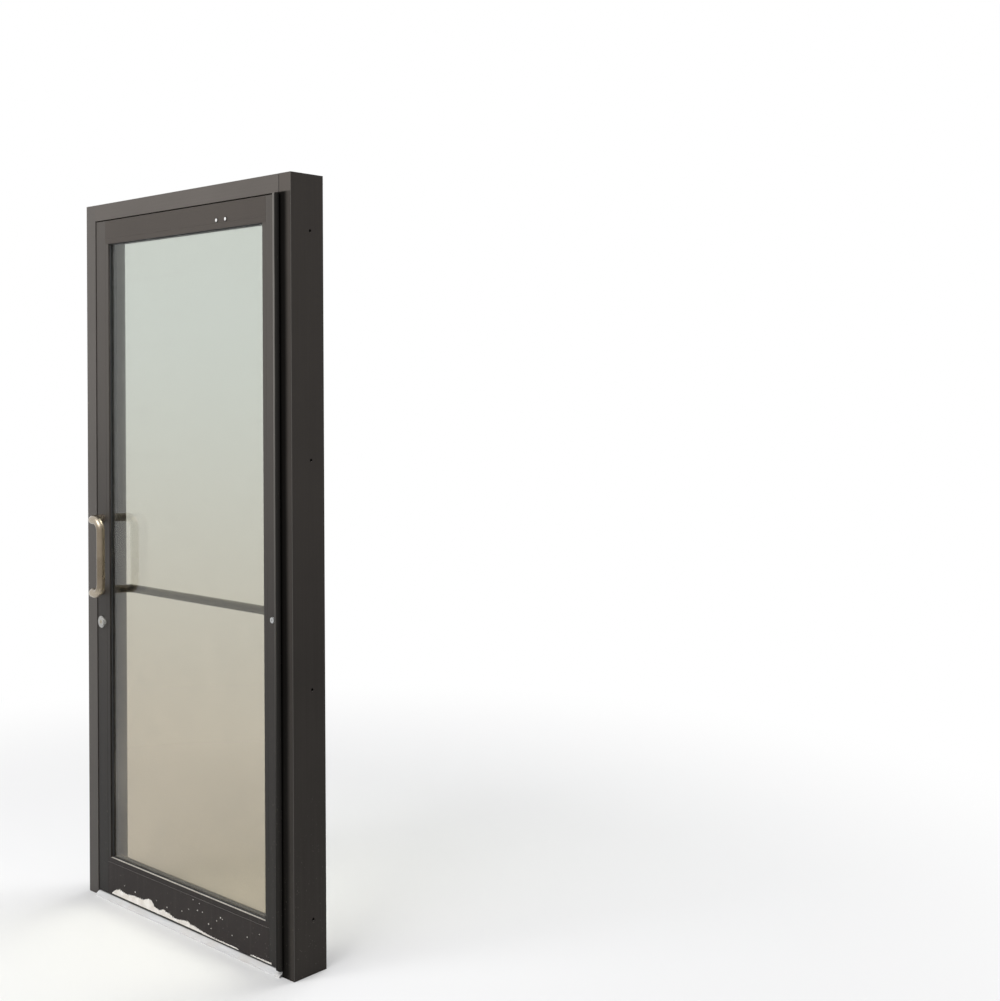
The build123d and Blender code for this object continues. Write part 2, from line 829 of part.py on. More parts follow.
case_front = x_leaf_lock + leaf_wall
z_top_rod = z_daylight_top + leaf_wall + fit_gap + corner_block_height / 2
z_bottom_rod = z_leaf_bottom + leaf_wall + fit_gap + corner_block_height / 2
rod_heights = (z_top_rod, z_bottom_rod)
rib_rows = (y_leaf_front + stop_depth / 2, y_leaf_back - stop_depth / 2)
side_stop_glass_length = daylight_height - 2 * stop_face


def stile(x_left, x_glass, inward):
    """Stile tube with the two snap ribs for the glass stops and the holes for the tie rods."""
    x_mid = x_left + stile_face / 2
    x_edge = x_left if inward > 0 else x_left + stile_face
    with BuildPart() as tube:
        with BuildSketch(Plane.XY.offset(z_leaf_bottom)):
            with Locations((x_mid, y_leaf_mid)):
                RectangleRounded(stile_face, leaf_thickness, edge_radius)
                Rectangle(stile_face - 2 * leaf_wall, leaf_thickness - 2 * leaf_wall, mode=Mode.SUBTRACT)
        extrude(amount=leaf_height)
        with BuildSketch(Plane.XY.offset(z_daylight_bottom + stop_face)):
            for y in rib_rows:
                with Locations((x_glass + inward * stop_rib_height / 2, y)):
                    Rectangle(stop_rib_height, stop_rib_thickness)
        extrude(amount=side_stop_glass_length)
        with BuildSketch(Plane.YZ.offset(x_glass)):
            for z in rod_heights:
                with Locations((y_leaf_mid, z)):
                    Circle(tie_rod_radius + tie_rod_clearance)
        extrude(amount=-inward * leaf_wall, mode=Mode.SUBTRACT)
        with BuildSketch(Plane.YZ.offset(x_edge)):
            for z in rod_heights:
                with Locations((y_leaf_mid, z)):
                    Circle(tie_access_radius)
        extrude(amount=inward * leaf_wall, mode=Mode.SUBTRACT)
    return tube.part


handle_heights = (pull_bottom_height, z_pull_top)
bolt_hole = handle_bolt_radius + screw_clearance

with BuildPart() as lock_stile:
    add(stile(x_leaf_lock, x_daylight_lock, 1))
    with BuildSketch(Plane.YZ.offset(x_leaf_lock)):
        with Locations((y_leaf_mid, lock_height)):
            Rectangle(case_width + 2 * fit_gap, faceplate_height + 2 * fit_gap)
    extrude(amount=leaf_wall, mode=Mode.SUBTRACT)
    with BuildSketch(Plane.XZ.offset(-y_leaf_front)):
        with Locations((x_cylinder, lock_height)):
            Circle(cylinder_radius + fit_gap)
        for z in handle_heights:
            with Locations((x_cylinder, z)):
                Circle(bolt_hole)
    extrude(amount=-leaf_thickness, mode=Mode.SUBTRACT)
lock_stile.part.label = "lock_stile"
export_step(lock_stile.part, "parts/lock_stile.step")

with BuildPart() as hinge_stile:
    add(stile(x_daylight_hinge, x_daylight_hinge, -1))
    with BuildSketch(Plane.XZ.offset(-y_leaf_front)):
        with Locations((x_hinge_handle, pull_bottom_height)):
            Circle(bolt_hole)
    extrude(amount=-leaf_thickness, mode=Mode.SUBTRACT)
    with BuildSketch(Plane.YZ.offset(x_leaf_hinge)):
        with Locations(*hinge_screws):
            Circle(screw_radius + screw_clearance)
    extrude(amount=-leaf_wall, mode=Mode.SUBTRACT)
hinge_stile.part.label = "hinge_stile"
export_step(hinge_stile.part, "parts/hinge_stile.step")


def rail(z_low, face, z_glass, inward):
    """Rail tube between the stiles, with the snap ribs on its glass side."""
    with BuildPart() as tube:
        with BuildSketch(Plane.YZ.offset(x_daylight_lock)):
            with Locations((y_leaf_mid, z_low + face / 2)):
                RectangleRounded(leaf_thickness, face, edge_radius)
                Rectangle(leaf_thickness - 2 * leaf_wall, face - 2 * leaf_wall, mode=Mode.SUBTRACT)
            for y in rib_rows:
                with Locations((y, z_glass + inward * stop_rib_height / 2)):
                    Rectangle(stop_rib_thickness, stop_rib_height)
        extrude(amount=rail_length)
    return tube.part


shoe_bolt_places = [(shoe_x + side * shoe_bolt_pitch / 2, z_shoe) for side in (-1, 1)]

with BuildPart() as top_rail:
    add(rail(z_daylight_top, top_rail_face, z_daylight_top, -1))
    with BuildSketch(Plane.XZ.offset(-y_leaf_front)):
        with Locations(*shoe_bolt_places):
            Circle(sex_bolt_radius + screw_clearance)
    extrude(amount=-leaf_thickness, mode=Mode.SUBTRACT)
top_rail.part.label = "top_rail"
export_step(top_rail.part, "parts/top_rail.step")

with BuildPart() as bottom_rail:
    add(rail(z_leaf_bottom, bottom_rail_face, z_daylight_bottom, 1))
bottom_rail.part.label = "bottom_rail"
export_step(bottom_rail.part, "parts/bottom_rail.step")

# Corner blocks inside the rail ends, drawn up by tie rods that run through the rails

block_depth = leaf_thickness - 2 * leaf_wall - 2 * fit_gap
pocket_pitch = corner_block_height - 2 * corner_block_wall - corner_block_pocket

with BuildPart() as corner_blocks:
    for x in (x_daylight_lock + corner_block_length / 2, x_daylight_hinge - corner_block_length / 2):
        for z in rod_heights:
            with BuildSketch(Plane.YZ.offset(x - corner_block_length / 2)):
                with Locations((y_leaf_mid, z)):
                    Rectangle(block_depth, corner_block_height)
                    Circle(tie_rod_radius + tie_rod_clearance, mode=Mode.SUBTRACT)
                    with GridLocations(0, pocket_pitch, 1, 2):
                        Rectangle(
                            block_depth - 2 * corner_block_wall,
                            corner_block_pocket,
                            mode=Mode.SUBTRACT)
            extrude(amount=corner_block_length)
corner_blocks.part.label = "corner_blocks"
export_step(corner_blocks.part, "parts/corner_blocks.step")

x_nut_lock = x_daylight_lock - leaf_wall - tie_nut_height
x_nut_hinge = x_daylight_hinge + leaf_wall

with BuildPart() as tie_rods:
    for z in rod_heights:
        with BuildSketch(Plane.YZ.offset(x_nut_lock - rod_stub)):
            with Locations((y_leaf_mid, z)):
                Circle(tie_rod_radius)
        extrude(amount=x_nut_hinge + tie_nut_height - x_nut_lock + 2 * rod_stub)
tie_rods.part.label = "tie_rods"
export_step(tie_rods.part, "parts/tie_rods.step")

with BuildPart() as tie_rod_nuts:
    for x in (x_nut_lock, x_nut_hinge):
        for z in rod_heights:
            with BuildSketch(Plane.YZ.offset(x)):
                with Locations((y_leaf_mid, z)):
                    RegularPolygon(tie_nut_width / 2, hexagon, major_radius=False)
                    Circle(tie_rod_radius + nut_clearance, mode=Mode.SUBTRACT)
            extrude(amount=tie_nut_height)
tie_rod_nuts.part.label = "tie_rod_nuts"
export_step(tie_rod_nuts.part, "parts/tie_rod_nuts.step")

# Glass stops: snap-on channels around the glass, outside and inside

gasket_depth = (leaf_thickness - glass_unit_thickness) / 2 - stop_depth
stop_lip_edge = gasket_depth / 4


def stop_section():
    """Channel section: X away from the stile or rail, Y from the leaf's face towards the glass."""
    with BuildSketch() as section:
        with Locations((stop_face / 2, stop_depth / 2)):
            RectangleRounded(stop_face, stop_depth, edge_radius)
        with Locations(((stop_face - stop_wall) / 2, stop_depth / 2)):
            Rectangle(stop_face - stop_wall, stop_depth - 2 * stop_wall, mode=Mode.SUBTRACT)
        with Locations((gasket_slot_at, stop_depth - (gasket_slot_depth + stop_wall) / 2)):
            Rectangle(gasket_boss, gasket_slot_depth + stop_wall)
        with Locations((gasket_slot_at, stop_depth)):
            Rectangle(gasket_slot, 2 * gasket_slot_depth, mode=Mode.SUBTRACT)
    return section.sketch


def gasket_section():
    """Wedge gasket section in the same frame as the stop, with its dart in the stop's slot.

    Its sloped lip stands out past the stop's edge onto the glass.
    """
    with BuildSketch() as section:
        with BuildLine():
            Polyline(
                (gasket_start, stop_depth),
                (stop_face, stop_depth),
                (stop_face + gasket_lip, stop_depth + gasket_depth - stop_lip_edge),
                (stop_face + gasket_lip, stop_depth + gasket_depth),
                (gasket_start, stop_depth + gasket_depth),
                close=True)
        make_face()
        with Locations((gasket_slot_at, stop_depth - stop_wall / 2)):
            Rectangle(gasket_slot - 2 * seal_slot_clearance, stop_wall)
    return section.sketch


def glazing_plane(edge, outside, inset=0.0):
    """Plane across one glass edge: its X points to the glass, its Y from the leaf's face inwards."""
    y = y_leaf_front if outside else y_leaf_back
    inwards = (0, 1, 0) if outside else (0, -1, 0)
    place = {
        "lock": ((x_daylight_lock, y, z_daylight_bottom + stop_face + inset), (1, 0, 0)),
        "hinge": ((x_daylight_hinge, y, z_daylight_bottom + stop_face + inset), (-1, 0, 0)),
        "bottom": ((x_daylight_lock + inset, y, z_daylight_bottom), (0, 0, 1)),
        "top": ((x_daylight_lock + inset, y, z_daylight_top), (0, 0, -1)),
    }
    origin, to_glass = place[edge]
    normal = Vector(*to_glass).cross(Vector(*inwards))
    return Plane(origin=origin, x_dir=to_glass, z_dir=normal)


def glazing_strip(section, edge, outside, length):
    """Runs a section along one edge of the glass, on one side of it."""
    plane = glazing_plane(edge, outside)
    along = plane.z_dir.X + plane.z_dir.Z
    with BuildPart() as strip:
        with BuildSketch(plane):
            add(section)
        extrude(amount=length if along > 0 else -length)
    return strip.part


stop_lengths = {
    "lock": side_stop_glass_length,
    "hinge": side_stop_glass_length,
    "bottom": rail_length,
    "top": rail_length,
}
section_of_stop = stop_section()
section_of_gasket = gasket_section()

for face_name, is_outside in (("outer", True), ("inner", False)):
    for edge_name, strip_length in stop_lengths.items():
        with BuildPart() as glass_stop:
            add(glazing_strip(section_of_stop, edge_name, is_outside, strip_length))
        glass_stop.part.label = face_name + "_" + edge_name + "_stop"
        export_step(glass_stop.part, "parts/" + glass_stop.part.label + ".step")

for face_name, is_outside in (("outer", True), ("inner", False)):
    with BuildPart() as gasket:
        for edge_name, strip_length in stop_lengths.items():
            add(glazing_strip(section_of_gasket, edge_name, is_outside, strip_length))
    gasket.part.label = face_name + "_gasket"
    export_step(gasket.part, "parts/" + gasket.part.label + ".step")

# Insulated glass: two lites on a hollow spacer, standing on setting blocks

glass_edge = stop_face - glass_bite
glass_width = rail_length - 2 * glass_edge
glass_height = daylight_height - 2 * glass_edge
z_glass_mid = (z_daylight_bottom + z_daylight_top) / 2
y_outer_lite = y_leaf_front + stop_depth + gasket_depth
y_inner_lite = y_outer_lite + glass_unit_thickness - lite_thickness


def lite(y_face):
    """One pane of the unit, its outer edges lightly ground."""
    with BuildPart() as pane:
        with BuildSketch(Plane.XZ.offset(-y_face)):
            with Locations((x_leaf_mid, z_glass_mid)):
                Rectangle(glass_width, glass_height)
        extrude(amount=-lite_thickness)
    return pane.part


with BuildPart() as outer_lite:
    add(lite(y_outer_lite))
outer_lite.part.label = "outer_lite"
export_step(outer_lite.part, "parts/outer_lite.step")

with BuildPart() as inner_lite:
    add(lite(y_inner_lite))
inner_lite.part.label = "inner_lite"
export_step(inner_lite.part, "parts/inner_lite.step")

spacer_depth = glass_unit_thickness - 2 * lite_thickness
spacer_outer_width = glass_width - 2 * spacer_inset
spacer_outer_height = glass_height - 2 * spacer_inset
y_spacer = y_outer_lite + lite_thickness + spacer_depth / 2
spacer_bore_depth = spacer_depth - 2 * spacer_wall
spacer_bore_height = spacer_height - 2 * spacer_wall

with BuildPart() as glass_spacer:
    for side in (-1, 1):
        z_bar = z_glass_mid + side * (spacer_outer_height / 2 - spacer_height / 2)
        with BuildSketch(Plane.YZ.offset(x_leaf_mid - spacer_outer_width / 2)):
            with Locations((y_spacer, z_bar)):
                Rectangle(spacer_depth, spacer_height)
                Rectangle(spacer_bore_depth, spacer_bore_height, mode=Mode.SUBTRACT)
        extrude(amount=spacer_outer_width)
        x_bar = x_leaf_mid + side * (spacer_outer_width / 2 - spacer_height / 2)
        bar_length = spacer_outer_height - 2 * spacer_height
        with BuildSketch(Plane.XY.offset(z_glass_mid - bar_length / 2)):
            with Locations((x_bar, y_spacer)):
                Rectangle(spacer_height, spacer_depth)
                Rectangle(spacer_bore_height, spacer_bore_depth, mode=Mode.SUBTRACT)
        extrude(amount=bar_length)
glass_spacer.part.label = "glass_spacer"
export_step(glass_spacer.part, "parts/glass_spacer.step")

with BuildPart() as setting_blocks:
    with BuildSketch(Plane.XY.offset(z_daylight_bottom)):
        with Locations((x_leaf_mid, y_leaf_mid)):
            with GridLocations(glass_width / 2, 0, 2, 1):
                Rectangle(setting_block_length, glass_unit_thickness)
    extrude(amount=glass_edge)
setting_blocks.part.label = "setting_blocks"
export_step(setting_blocks.part, "parts/setting_blocks.step")

# Lock: case with a swinging bolt, worked by a key cylinder outside and a thumbturn inside

faceplate_screws = [
    lock_height + side * (case_height / 2 - faceplate_screw_inset) for side in (-1, 1)]
y_case_front = y_leaf_mid - case_width / 2
y_case_back = y_leaf_mid + case_width / 2
x_case_mid = case_front + case_depth / 2

with BuildPart() as lock_case:
    with BuildSketch(Plane.XY.offset(lock_height - case_height / 2)):
        with Locations((x_case_mid, y_leaf_mid)):
            Rectangle(case_depth, case_width)
    extrude(amount=case_height)
    with BuildSketch(Plane.XY.offset(lock_height - case_height / 2 + case_wall)):
        with Locations((x_case_mid, y_leaf_mid)):
            Rectangle(case_depth - 2 * case_wall, case_width - 2 * case_wall)
    extrude(amount=case_height - 2 * case_wall, mode=Mode.SUBTRACT)
    with BuildSketch(Plane.XZ.offset(-y_case_front)):
        with Locations((x_cylinder, lock_height)):
            Circle(cylinder_radius + plug_clearance)
        with Locations((x_bolt_pivot, z_bolt_pivot)):
            Circle(bolt_pin_radius + plug_clearance)
    extrude(amount=-case_width, mode=Mode.SUBTRACT)
    with BuildSketch(Plane.YZ.offset(case_front)):
        with Locations((y_leaf_mid, (z_slot_bottom + z_case_slot_top) / 2)):
            Rectangle(2 * slot_half_width, z_case_slot_top - z_slot_bottom)
        for z in faceplate_screws:
            with Locations((y_leaf_mid, z)):
                Circle(faceplate_screw_radius + screw_clearance)
    extrude(amount=case_wall, mode=Mode.SUBTRACT)
lock_case.part.label = "lock_case"
export_step(lock_case.part, "parts/lock_case.step")

with BuildPart() as lock_faceplate:
    with BuildSketch(Plane.YZ.offset(x_leaf_lock)):
        with Locations((y_leaf_mid, lock_height)):
            Rectangle(case_width, faceplate_height)
        with Locations((y_leaf_mid, (z_slot_bottom + z_case_slot_top) / 2)):
            Rectangle(2 * slot_half_width, z_case_slot_top - z_slot_bottom, mode=Mode.SUBTRACT)
    extrude(amount=leaf_wall)
    with Locations(*[placed(x_leaf_lock, y_leaf_mid, z, 0, -90) for z in faceplate_screws]):
        CounterSinkHole(
            faceplate_screw_radius + screw_clearance, faceplate_screw_head,
            2 * leaf_wall, counter_sink_angle=90)
lock_faceplate.part.label = "lock_faceplate"
export_step(lock_faceplate.part, "parts/lock_faceplate.step")

with BuildPart() as dead_bolt:
    with BuildSketch(Plane.XZ.offset(-y_leaf_mid + bolt_thickness / 2)):
        with Locations((x_bolt_pivot, z_bolt_pivot)):
            Circle(bolt_width / 2)
        with Locations((x_bolt_pivot, z_bolt_pivot + bolt_length / 2)):
            Rectangle(bolt_width, bolt_length)
    extrude(amount=-bolt_thickness)
    nose_edges = dead_bolt.edges().filter_by(Axis.Y).group_by(Axis.Z)[-1]
    fillet(nose_edges, bolt_nose_radius)
    with BuildSketch(Plane.XZ.offset(-y_case_front)):
        with Locations((x_bolt_pivot, z_bolt_pivot)):
            Circle(bolt_pin_radius)
    extrude(amount=-case_width)
dead_bolt.part.label = "dead_bolt"
export_step(dead_bolt.part, "parts/dead_bolt.step")


def cylinder_housing(y_wall_outer, y_case_inner, front_depth):
    """Threaded lock cylinder from a stile face into the case wall, bored for the plug."""
    out = 1 if y_wall_outer > y_case_inner else -1
    y_head = y_wall_outer + out * front_depth
    with BuildPart() as housing:
        with BuildSketch(Plane.XZ.offset(-y_case_inner)):
            with Locations((x_cylinder, lock_height)):
                Circle(cylinder_radius)
        extrude(amount=-(y_head - y_case_inner))
        with BuildSketch(Plane.XZ.offset(-y_head)):
            with Locations((x_cylinder, lock_height)):
                Circle(cylinder_flange_radius)
        extrude(amount=-out * cylinder_flange)
        with BuildSketch(Plane.XZ.offset(-y_case_inner)):
            with Locations((x_cylinder, lock_height)):
                Circle(plug_radius + plug_clearance)
        extrude(amount=-(y_head + out * cylinder_flange - y_case_inner), mode=Mode.SUBTRACT)
    return housing.part


def plug_with_cam(y_case_inner, y_end):
    """Turning core from the case to its outer end, with the cam that throws the bolt."""
    out = 1 if y_end > y_case_inner else -1
    with BuildPart() as core:
        with BuildSketch(Plane.XZ.offset(-(y_case_inner - out * cam_thickness))):
            with Locations((x_cylinder, lock_height)):
                Circle(cam_radius)
            with Locations((x_cylinder, lock_height - cam_reach / 2)):
                Rectangle(cam_radius, cam_reach)
        extrude(amount=-out * (cam_thickness - fit_gap))
        with BuildSketch(Plane.XZ.offset(-(y_case_inner - out * cam_thickness))):
            with Locations((x_cylinder, lock_height)):
                Circle(plug_radius)
        extrude(amount=-(y_end - y_case_inner + out * cam_thickness))
    return core.part


y_outer_head = y_leaf_front - collar_depth - cylinder_flange
y_case_inner_front = y_case_front + case_wall
y_case_inner_back = y_case_back - case_wall
y_key_face = y_outer_head - plug_proud

with BuildPart() as outer_cylinder:
    add(cylinder_housing(y_leaf_front, y_case_inner_front, collar_depth))
outer_cylinder.part.label = "outer_cylinder"
export_step(outer_cylinder.part, "parts/outer_cylinder.step")

with BuildPart() as cylinder_collar:
    with BuildSketch(Plane.XZ.offset(-y_leaf_front)):
        with Locations((x_cylinder, lock_height)):
            Circle(collar_radius)
    extrude(amount=collar_depth, taper=collar_taper)
    with BuildSketch(Plane.XZ.offset(-y_leaf_front)):
        with Locations((x_cylinder, lock_height)):
            Circle(cylinder_radius + screw_clearance)
    extrude(amount=collar_depth, mode=Mode.SUBTRACT)
cylinder_collar.part.label = "cylinder_collar"
export_step(cylinder_collar.part, "parts/cylinder_collar.step")

with BuildPart() as key_plug:
    add(plug_with_cam(y_case_inner_front, y_key_face))
    with BuildSketch(Plane.XZ.offset(-y_key_face)):
        with Locations((x_cylinder, lock_height)):
            Rectangle(keyway_width, keyway_height)
    extrude(amount=-keyway_depth, mode=Mode.SUBTRACT)
key_plug.part.label = "key_plug"
export_step(key_plug.part, "parts/key_plug.step")

with BuildPart() as inner_cylinder:
    add(cylinder_housing(y_leaf_back, y_case_inner_back, 0))
inner_cylinder.part.label = "inner_cylinder"
export_step(inner_cylinder.part, "parts/inner_cylinder.step")

y_turn_base = y_leaf_back + cylinder_flange + fit_gap

with BuildPart() as thumbturn:
    add(plug_with_cam(y_case_inner_back, y_turn_base))
    with BuildSketch(Plane.XZ.offset(-y_turn_base)):
        with Locations((x_cylinder, lock_height)):
            Circle(turn_rose_radius)
    extrude(amount=-turn_rose_depth)
    with BuildSketch(Plane.XZ.offset(-(y_turn_base + turn_rose_depth))):
        with Locations((x_cylinder, lock_height)):
            SlotOverall(turn_length, turn_thickness, rotation=90)
    extrude(amount=-turn_height, taper=4)
thumbturn.part.label = "thumbturn"
export_step(thumbturn.part, "parts/thumbturn.step")

# Offset pull outside, push bar inside, bolted through the stiles

y_pull = y_leaf_front - pull_projection
x_grip = x_cylinder + pull_offset

with BuildPart() as pull_handle:
    with BuildLine() as pull_path:
        FilletPolyline(
            (x_cylinder, y_leaf_front, pull_bottom_height),
            (x_cylinder, y_pull, pull_bottom_height),
            (x_grip, y_pull, pull_bottom_height),
            (x_grip, y_pull, z_pull_top),
            (x_cylinder, y_pull, z_pull_top),
            (x_cylinder, y_leaf_front, z_pull_top),
            radius=pull_bend_radius)
    with BuildSketch(Plane.XZ.offset(-y_leaf_front)):
        with Locations((x_cylinder, pull_bottom_height)):
            Circle(grip_radius)
    sweep(path=pull_path.wires()[0])
    with BuildSketch(Plane.XZ.offset(-y_leaf_front)):
        for z in handle_heights:
            with Locations((x_cylinder, z)):
                Circle(bolt_hole)
    extrude(amount=handle_bolt_grip, mode=Mode.SUBTRACT)
pull_handle.part.label = "pull_handle"
export_step(pull_handle.part, "parts/pull_handle.step")

y_push = y_leaf_back + push_projection

with BuildPart() as push_bar:
    with BuildLine() as push_path:
        FilletPolyline(
            (x_cylinder, y_leaf_back, pull_bottom_height),
            (x_cylinder, y_push, pull_bottom_height),
            (x_hinge_handle, y_push, pull_bottom_height),
            (x_hinge_handle, y_leaf_back, pull_bottom_height),
            radius=push_bend_radius)
    with BuildSketch(Plane.XZ.offset(-y_leaf_back)):
        with Locations((x_cylinder, pull_bottom_height)):
            Circle(grip_radius)
    sweep(path=push_path.wires()[0])
    with BuildSketch(Plane.XZ.offset(-y_leaf_back)):
        for x in (x_cylinder, x_hinge_handle):
            with Locations((x, pull_bottom_height)):
                Circle(bolt_hole)
    extrude(amount=-handle_bolt_grip, mode=Mode.SUBTRACT)
push_bar.part.label = "push_bar"
export_step(push_bar.part, "parts/push_bar.step")

bolt_end_gap = 1.0


def through_bolt(x, z, y_from, y_to, y_head=None, head_way=0):
    """A bolt along Y through a stile, with a round head where it has one."""
    with BuildPart() as bolt:
        with BuildSketch(Plane.XZ.offset(-y_from)):
            with Locations((x, z)):
                Circle(handle_bolt_radius)
        extrude(amount=-(y_to - y_from))
        if y_head is not None:
            with BuildSketch(Plane.XZ.offset(-y_head)):
                with Locations((x, z)):
                    Circle(handle_head_radius)
            extrude(amount=-head_way * handle_head_height, taper=handle_head_taper)
            with BuildSketch(Plane.XZ.offset(-(y_head + head_way * handle_head_height))):
                with Locations((x, z)):
                    RegularPolygon(socket_radius, hexagon)
            extrude(amount=head_way * socket_depth, mode=Mode.SUBTRACT)
    return bolt.part


y_in_pull = y_leaf_front - handle_bolt_grip + bolt_end_gap
y_in_push = y_leaf_back + handle_bolt_grip - bolt_end_gap

with BuildPart() as handle_bolts:
    add(through_bolt(x_cylinder, pull_bottom_height, y_in_pull, y_in_push))
    add(through_bolt(x_cylinder, z_pull_top, y_in_pull, y_leaf_back, y_leaf_back, 1))
    add(through_bolt(x_hinge_handle, pull_bottom_height, y_leaf_front, y_in_push, y_leaf_front, -1))
handle_bolts.part.label = "handle_bolts"
export_step(handle_bolts.part, "parts/handle_bolts.step")

# Overhead closer on the header, with its arm to a shoe on the top rail

z_closer_low = z_closer - closer_height / 2
z_pinion_bottom = arm_top - arm_thickness - hub_below
y_tube_mid = y_back + (closer_depth + closer_foot) / 2
x_tube_start = pinion_x - closer_short_end + 2 * closer_screw_inset
x_tube_end = pinion_x + closer_long_end - 2 * closer_screw_inset

with BuildPart() as closer_body:
    with BuildSketch(Plane.YZ.offset(pinion_x - closer_short_end)):
        with Locations((y_back + closer_foot / 2, z_closer)):
            RectangleRounded(closer_foot, closer_height, closer_foot_corner)
    extrude(amount=closer_short_end + closer_long_end)
    with BuildSketch(Plane.YZ.offset(x_tube_start)):
        with Locations((y_tube_mid, z_closer)):
            RectangleRounded(
                closer_depth - closer_foot,
                closer_height - 2 * closer_tube_step,
                closer_tube_radius)
        with Locations((y_back + closer_depth / 4, z_closer)):
            Rectangle(closer_depth / 2, closer_height - 2 * closer_neck_step)
    extrude(amount=x_tube_end - x_tube_start)
    for x_end, way in ((x_tube_start, -1), (x_tube_end, 1)):
        with BuildSketch(Plane.YZ.offset(x_end)):
            with Locations((y_tube_mid, z_closer)):
                Circle(end_plug_radius)
        extrude(amount=way * end_plug_step)
        with BuildSketch(Plane.YZ.offset(x_end + way * end_plug_step)):
            with Locations((y_tube_mid, z_closer)):
                RegularPolygon(end_plug_hex, hexagon)
        extrude(amount=-way * end_plug_socket, mode=Mode.SUBTRACT)
    with BuildSketch(Plane.YZ.offset(x_tube_end)):
        for side in (-1, 1):
            with Locations((y_tube_mid - valve_aside, z_closer + side * valve_aside / 2)):
                Circle(valve_radius)
    extrude(amount=-valve_depth, mode=Mode.SUBTRACT)
    with BuildSketch(Plane.XY.offset(z_closer_low - boss_below)):
        with Locations((pinion_x, y_pinion)):
            Circle(boss_radius)
    extrude(amount=closer_height + boss_below + boss_above)
    with BuildSketch(Plane.XY.offset(z_closer_low - boss_below)):
        with Locations((pinion_x, y_pinion)):
            Circle(pinion_radius + pinion_clearance)
    extrude(amount=closer_height + boss_below + boss_above, mode=Mode.SUBTRACT)
    with Locations(*[placed(x, y_back + closer_foot, z, -90) for x, z in closer_screw_places]):
        Hole(closer_screw_radius + screw_clearance, closer_foot)
closer_body.part.label = "closer_body"
export_step(closer_body.part, "parts/closer_body.step")

with BuildPart() as closer_screws:
    with BuildSketch(Plane.XZ.offset(-(y_back + closer_foot))):
        with Locations(*closer_screw_places):
            Circle(closer_screw_head)
    extrude(amount=-closer_screw_dome, taper=closer_screw_taper)
    with BuildSketch(Plane.XZ.offset(-(y_back + closer_foot))):
        with Locations(*closer_screw_places):
            Circle(closer_screw_radius)
    extrude(amount=closer_foot + 2 * frame_wall)
    with BuildSketch(Plane.XZ.offset(-(y_back + closer_foot + closer_screw_dome))):
        with Locations(*closer_screw_places):
            add(cross_recess)
    extrude(amount=recess_depth, mode=Mode.SUBTRACT)
closer_screws.part.label = "closer_screws"
export_step(closer_screws.part, "parts/closer_screws.step")

with BuildPart() as closer_pinion:
    with BuildSketch(Plane.XY.offset(z_pinion_bottom)):
        with Locations((pinion_x, y_pinion)):
            Circle(pinion_radius)
    extrude(amount=z_closer + closer_height / 2 + boss_above + 1.0 - z_pinion_bottom)
closer_pinion.part.label = "closer_pinion"
export_step(closer_pinion.part, "parts/closer_pinion.step")

pinion_point = Vector(pinion_x, y_pinion)
shoe_point = Vector(shoe_x, y_shoe_pivot)
span = shoe_point - pinion_point
elbow_along = (main_arm_length ** 2 - forearm_length ** 2 + span.length ** 2) / (2 * span.length)
elbow_aside = math.sqrt(main_arm_length ** 2 - elbow_along ** 2)
span_way = span.normalized()
aside_way = Vector(span_way.Y, -span_way.X)
elbow_point = pinion_point + span_way * elbow_along + aside_way * elbow_aside


def arm_blank(start, start_radius, end, end_radius, z_top):
    """Flat forged arm that tapers between its two round ends."""
    with BuildPart() as blank:
        with BuildSketch(Plane.XY.offset(z_top - arm_thickness)):
            with Locations((start.X, start.Y)):
                Circle(start_radius)
            with Locations((end.X, end.Y)):
                Circle(end_radius)
            make_hull()
        extrude(amount=arm_thickness)
    return blank.part


hub_radius = pinion_radius + hub_wall
z_hub_bottom = arm_top - arm_thickness - hub_below
hub_height = arm_thickness + hub_below + hub_above
z_pin_bottom = z_forearm_top - arm_thickness - pin_below

with BuildPart() as closer_arm:
    add(arm_blank(pinion_point, hub_radius, elbow_point, arm_end_radius, arm_top))
    with BuildSketch(Plane.XY.offset(z_hub_bottom)):
        with Locations((pinion_x, y_pinion)):
            Circle(hub_radius)
    extrude(amount=hub_height)
    with BuildSketch(Plane.XY.offset(z_hub_bottom)):
        with Locations((pinion_x, y_pinion)):
            Circle(pinion_radius)
    extrude(amount=hub_height, mode=Mode.SUBTRACT)
    with BuildSketch(Plane.XY.offset(z_pin_bottom)):
        with Locations((elbow_point.X, elbow_point.Y)):
            Circle(elbow_pin_radius)
    extrude(amount=arm_top + pin_above - z_pin_bottom)
closer_arm.part.label = "closer_arm"
export_step(closer_arm.part, "parts/closer_arm.step")

with BuildPart() as closer_forearm:
    add(arm_blank(elbow_point, arm_end_radius, shoe_point, arm_end_radius, z_forearm_top))
    with BuildSketch(Plane.XY.offset(z_forearm_top - arm_thickness)):
        with Locations((elbow_point.X, elbow_point.Y)):
            Circle(elbow_pin_radius + elbow_play)
        with Locations((shoe_point.X, shoe_point.Y)):
            Circle(stud_radius + stud_clearance)
    extrude(amount=arm_thickness, mode=Mode.SUBTRACT)
closer_forearm.part.label = "closer_forearm"
export_step(closer_forearm.part, "parts/closer_forearm.step")

sleeve_bore = sex_bolt_radius - sleeve_wall
z_shelf_top = z_forearm_top - arm_thickness - forearm_lift

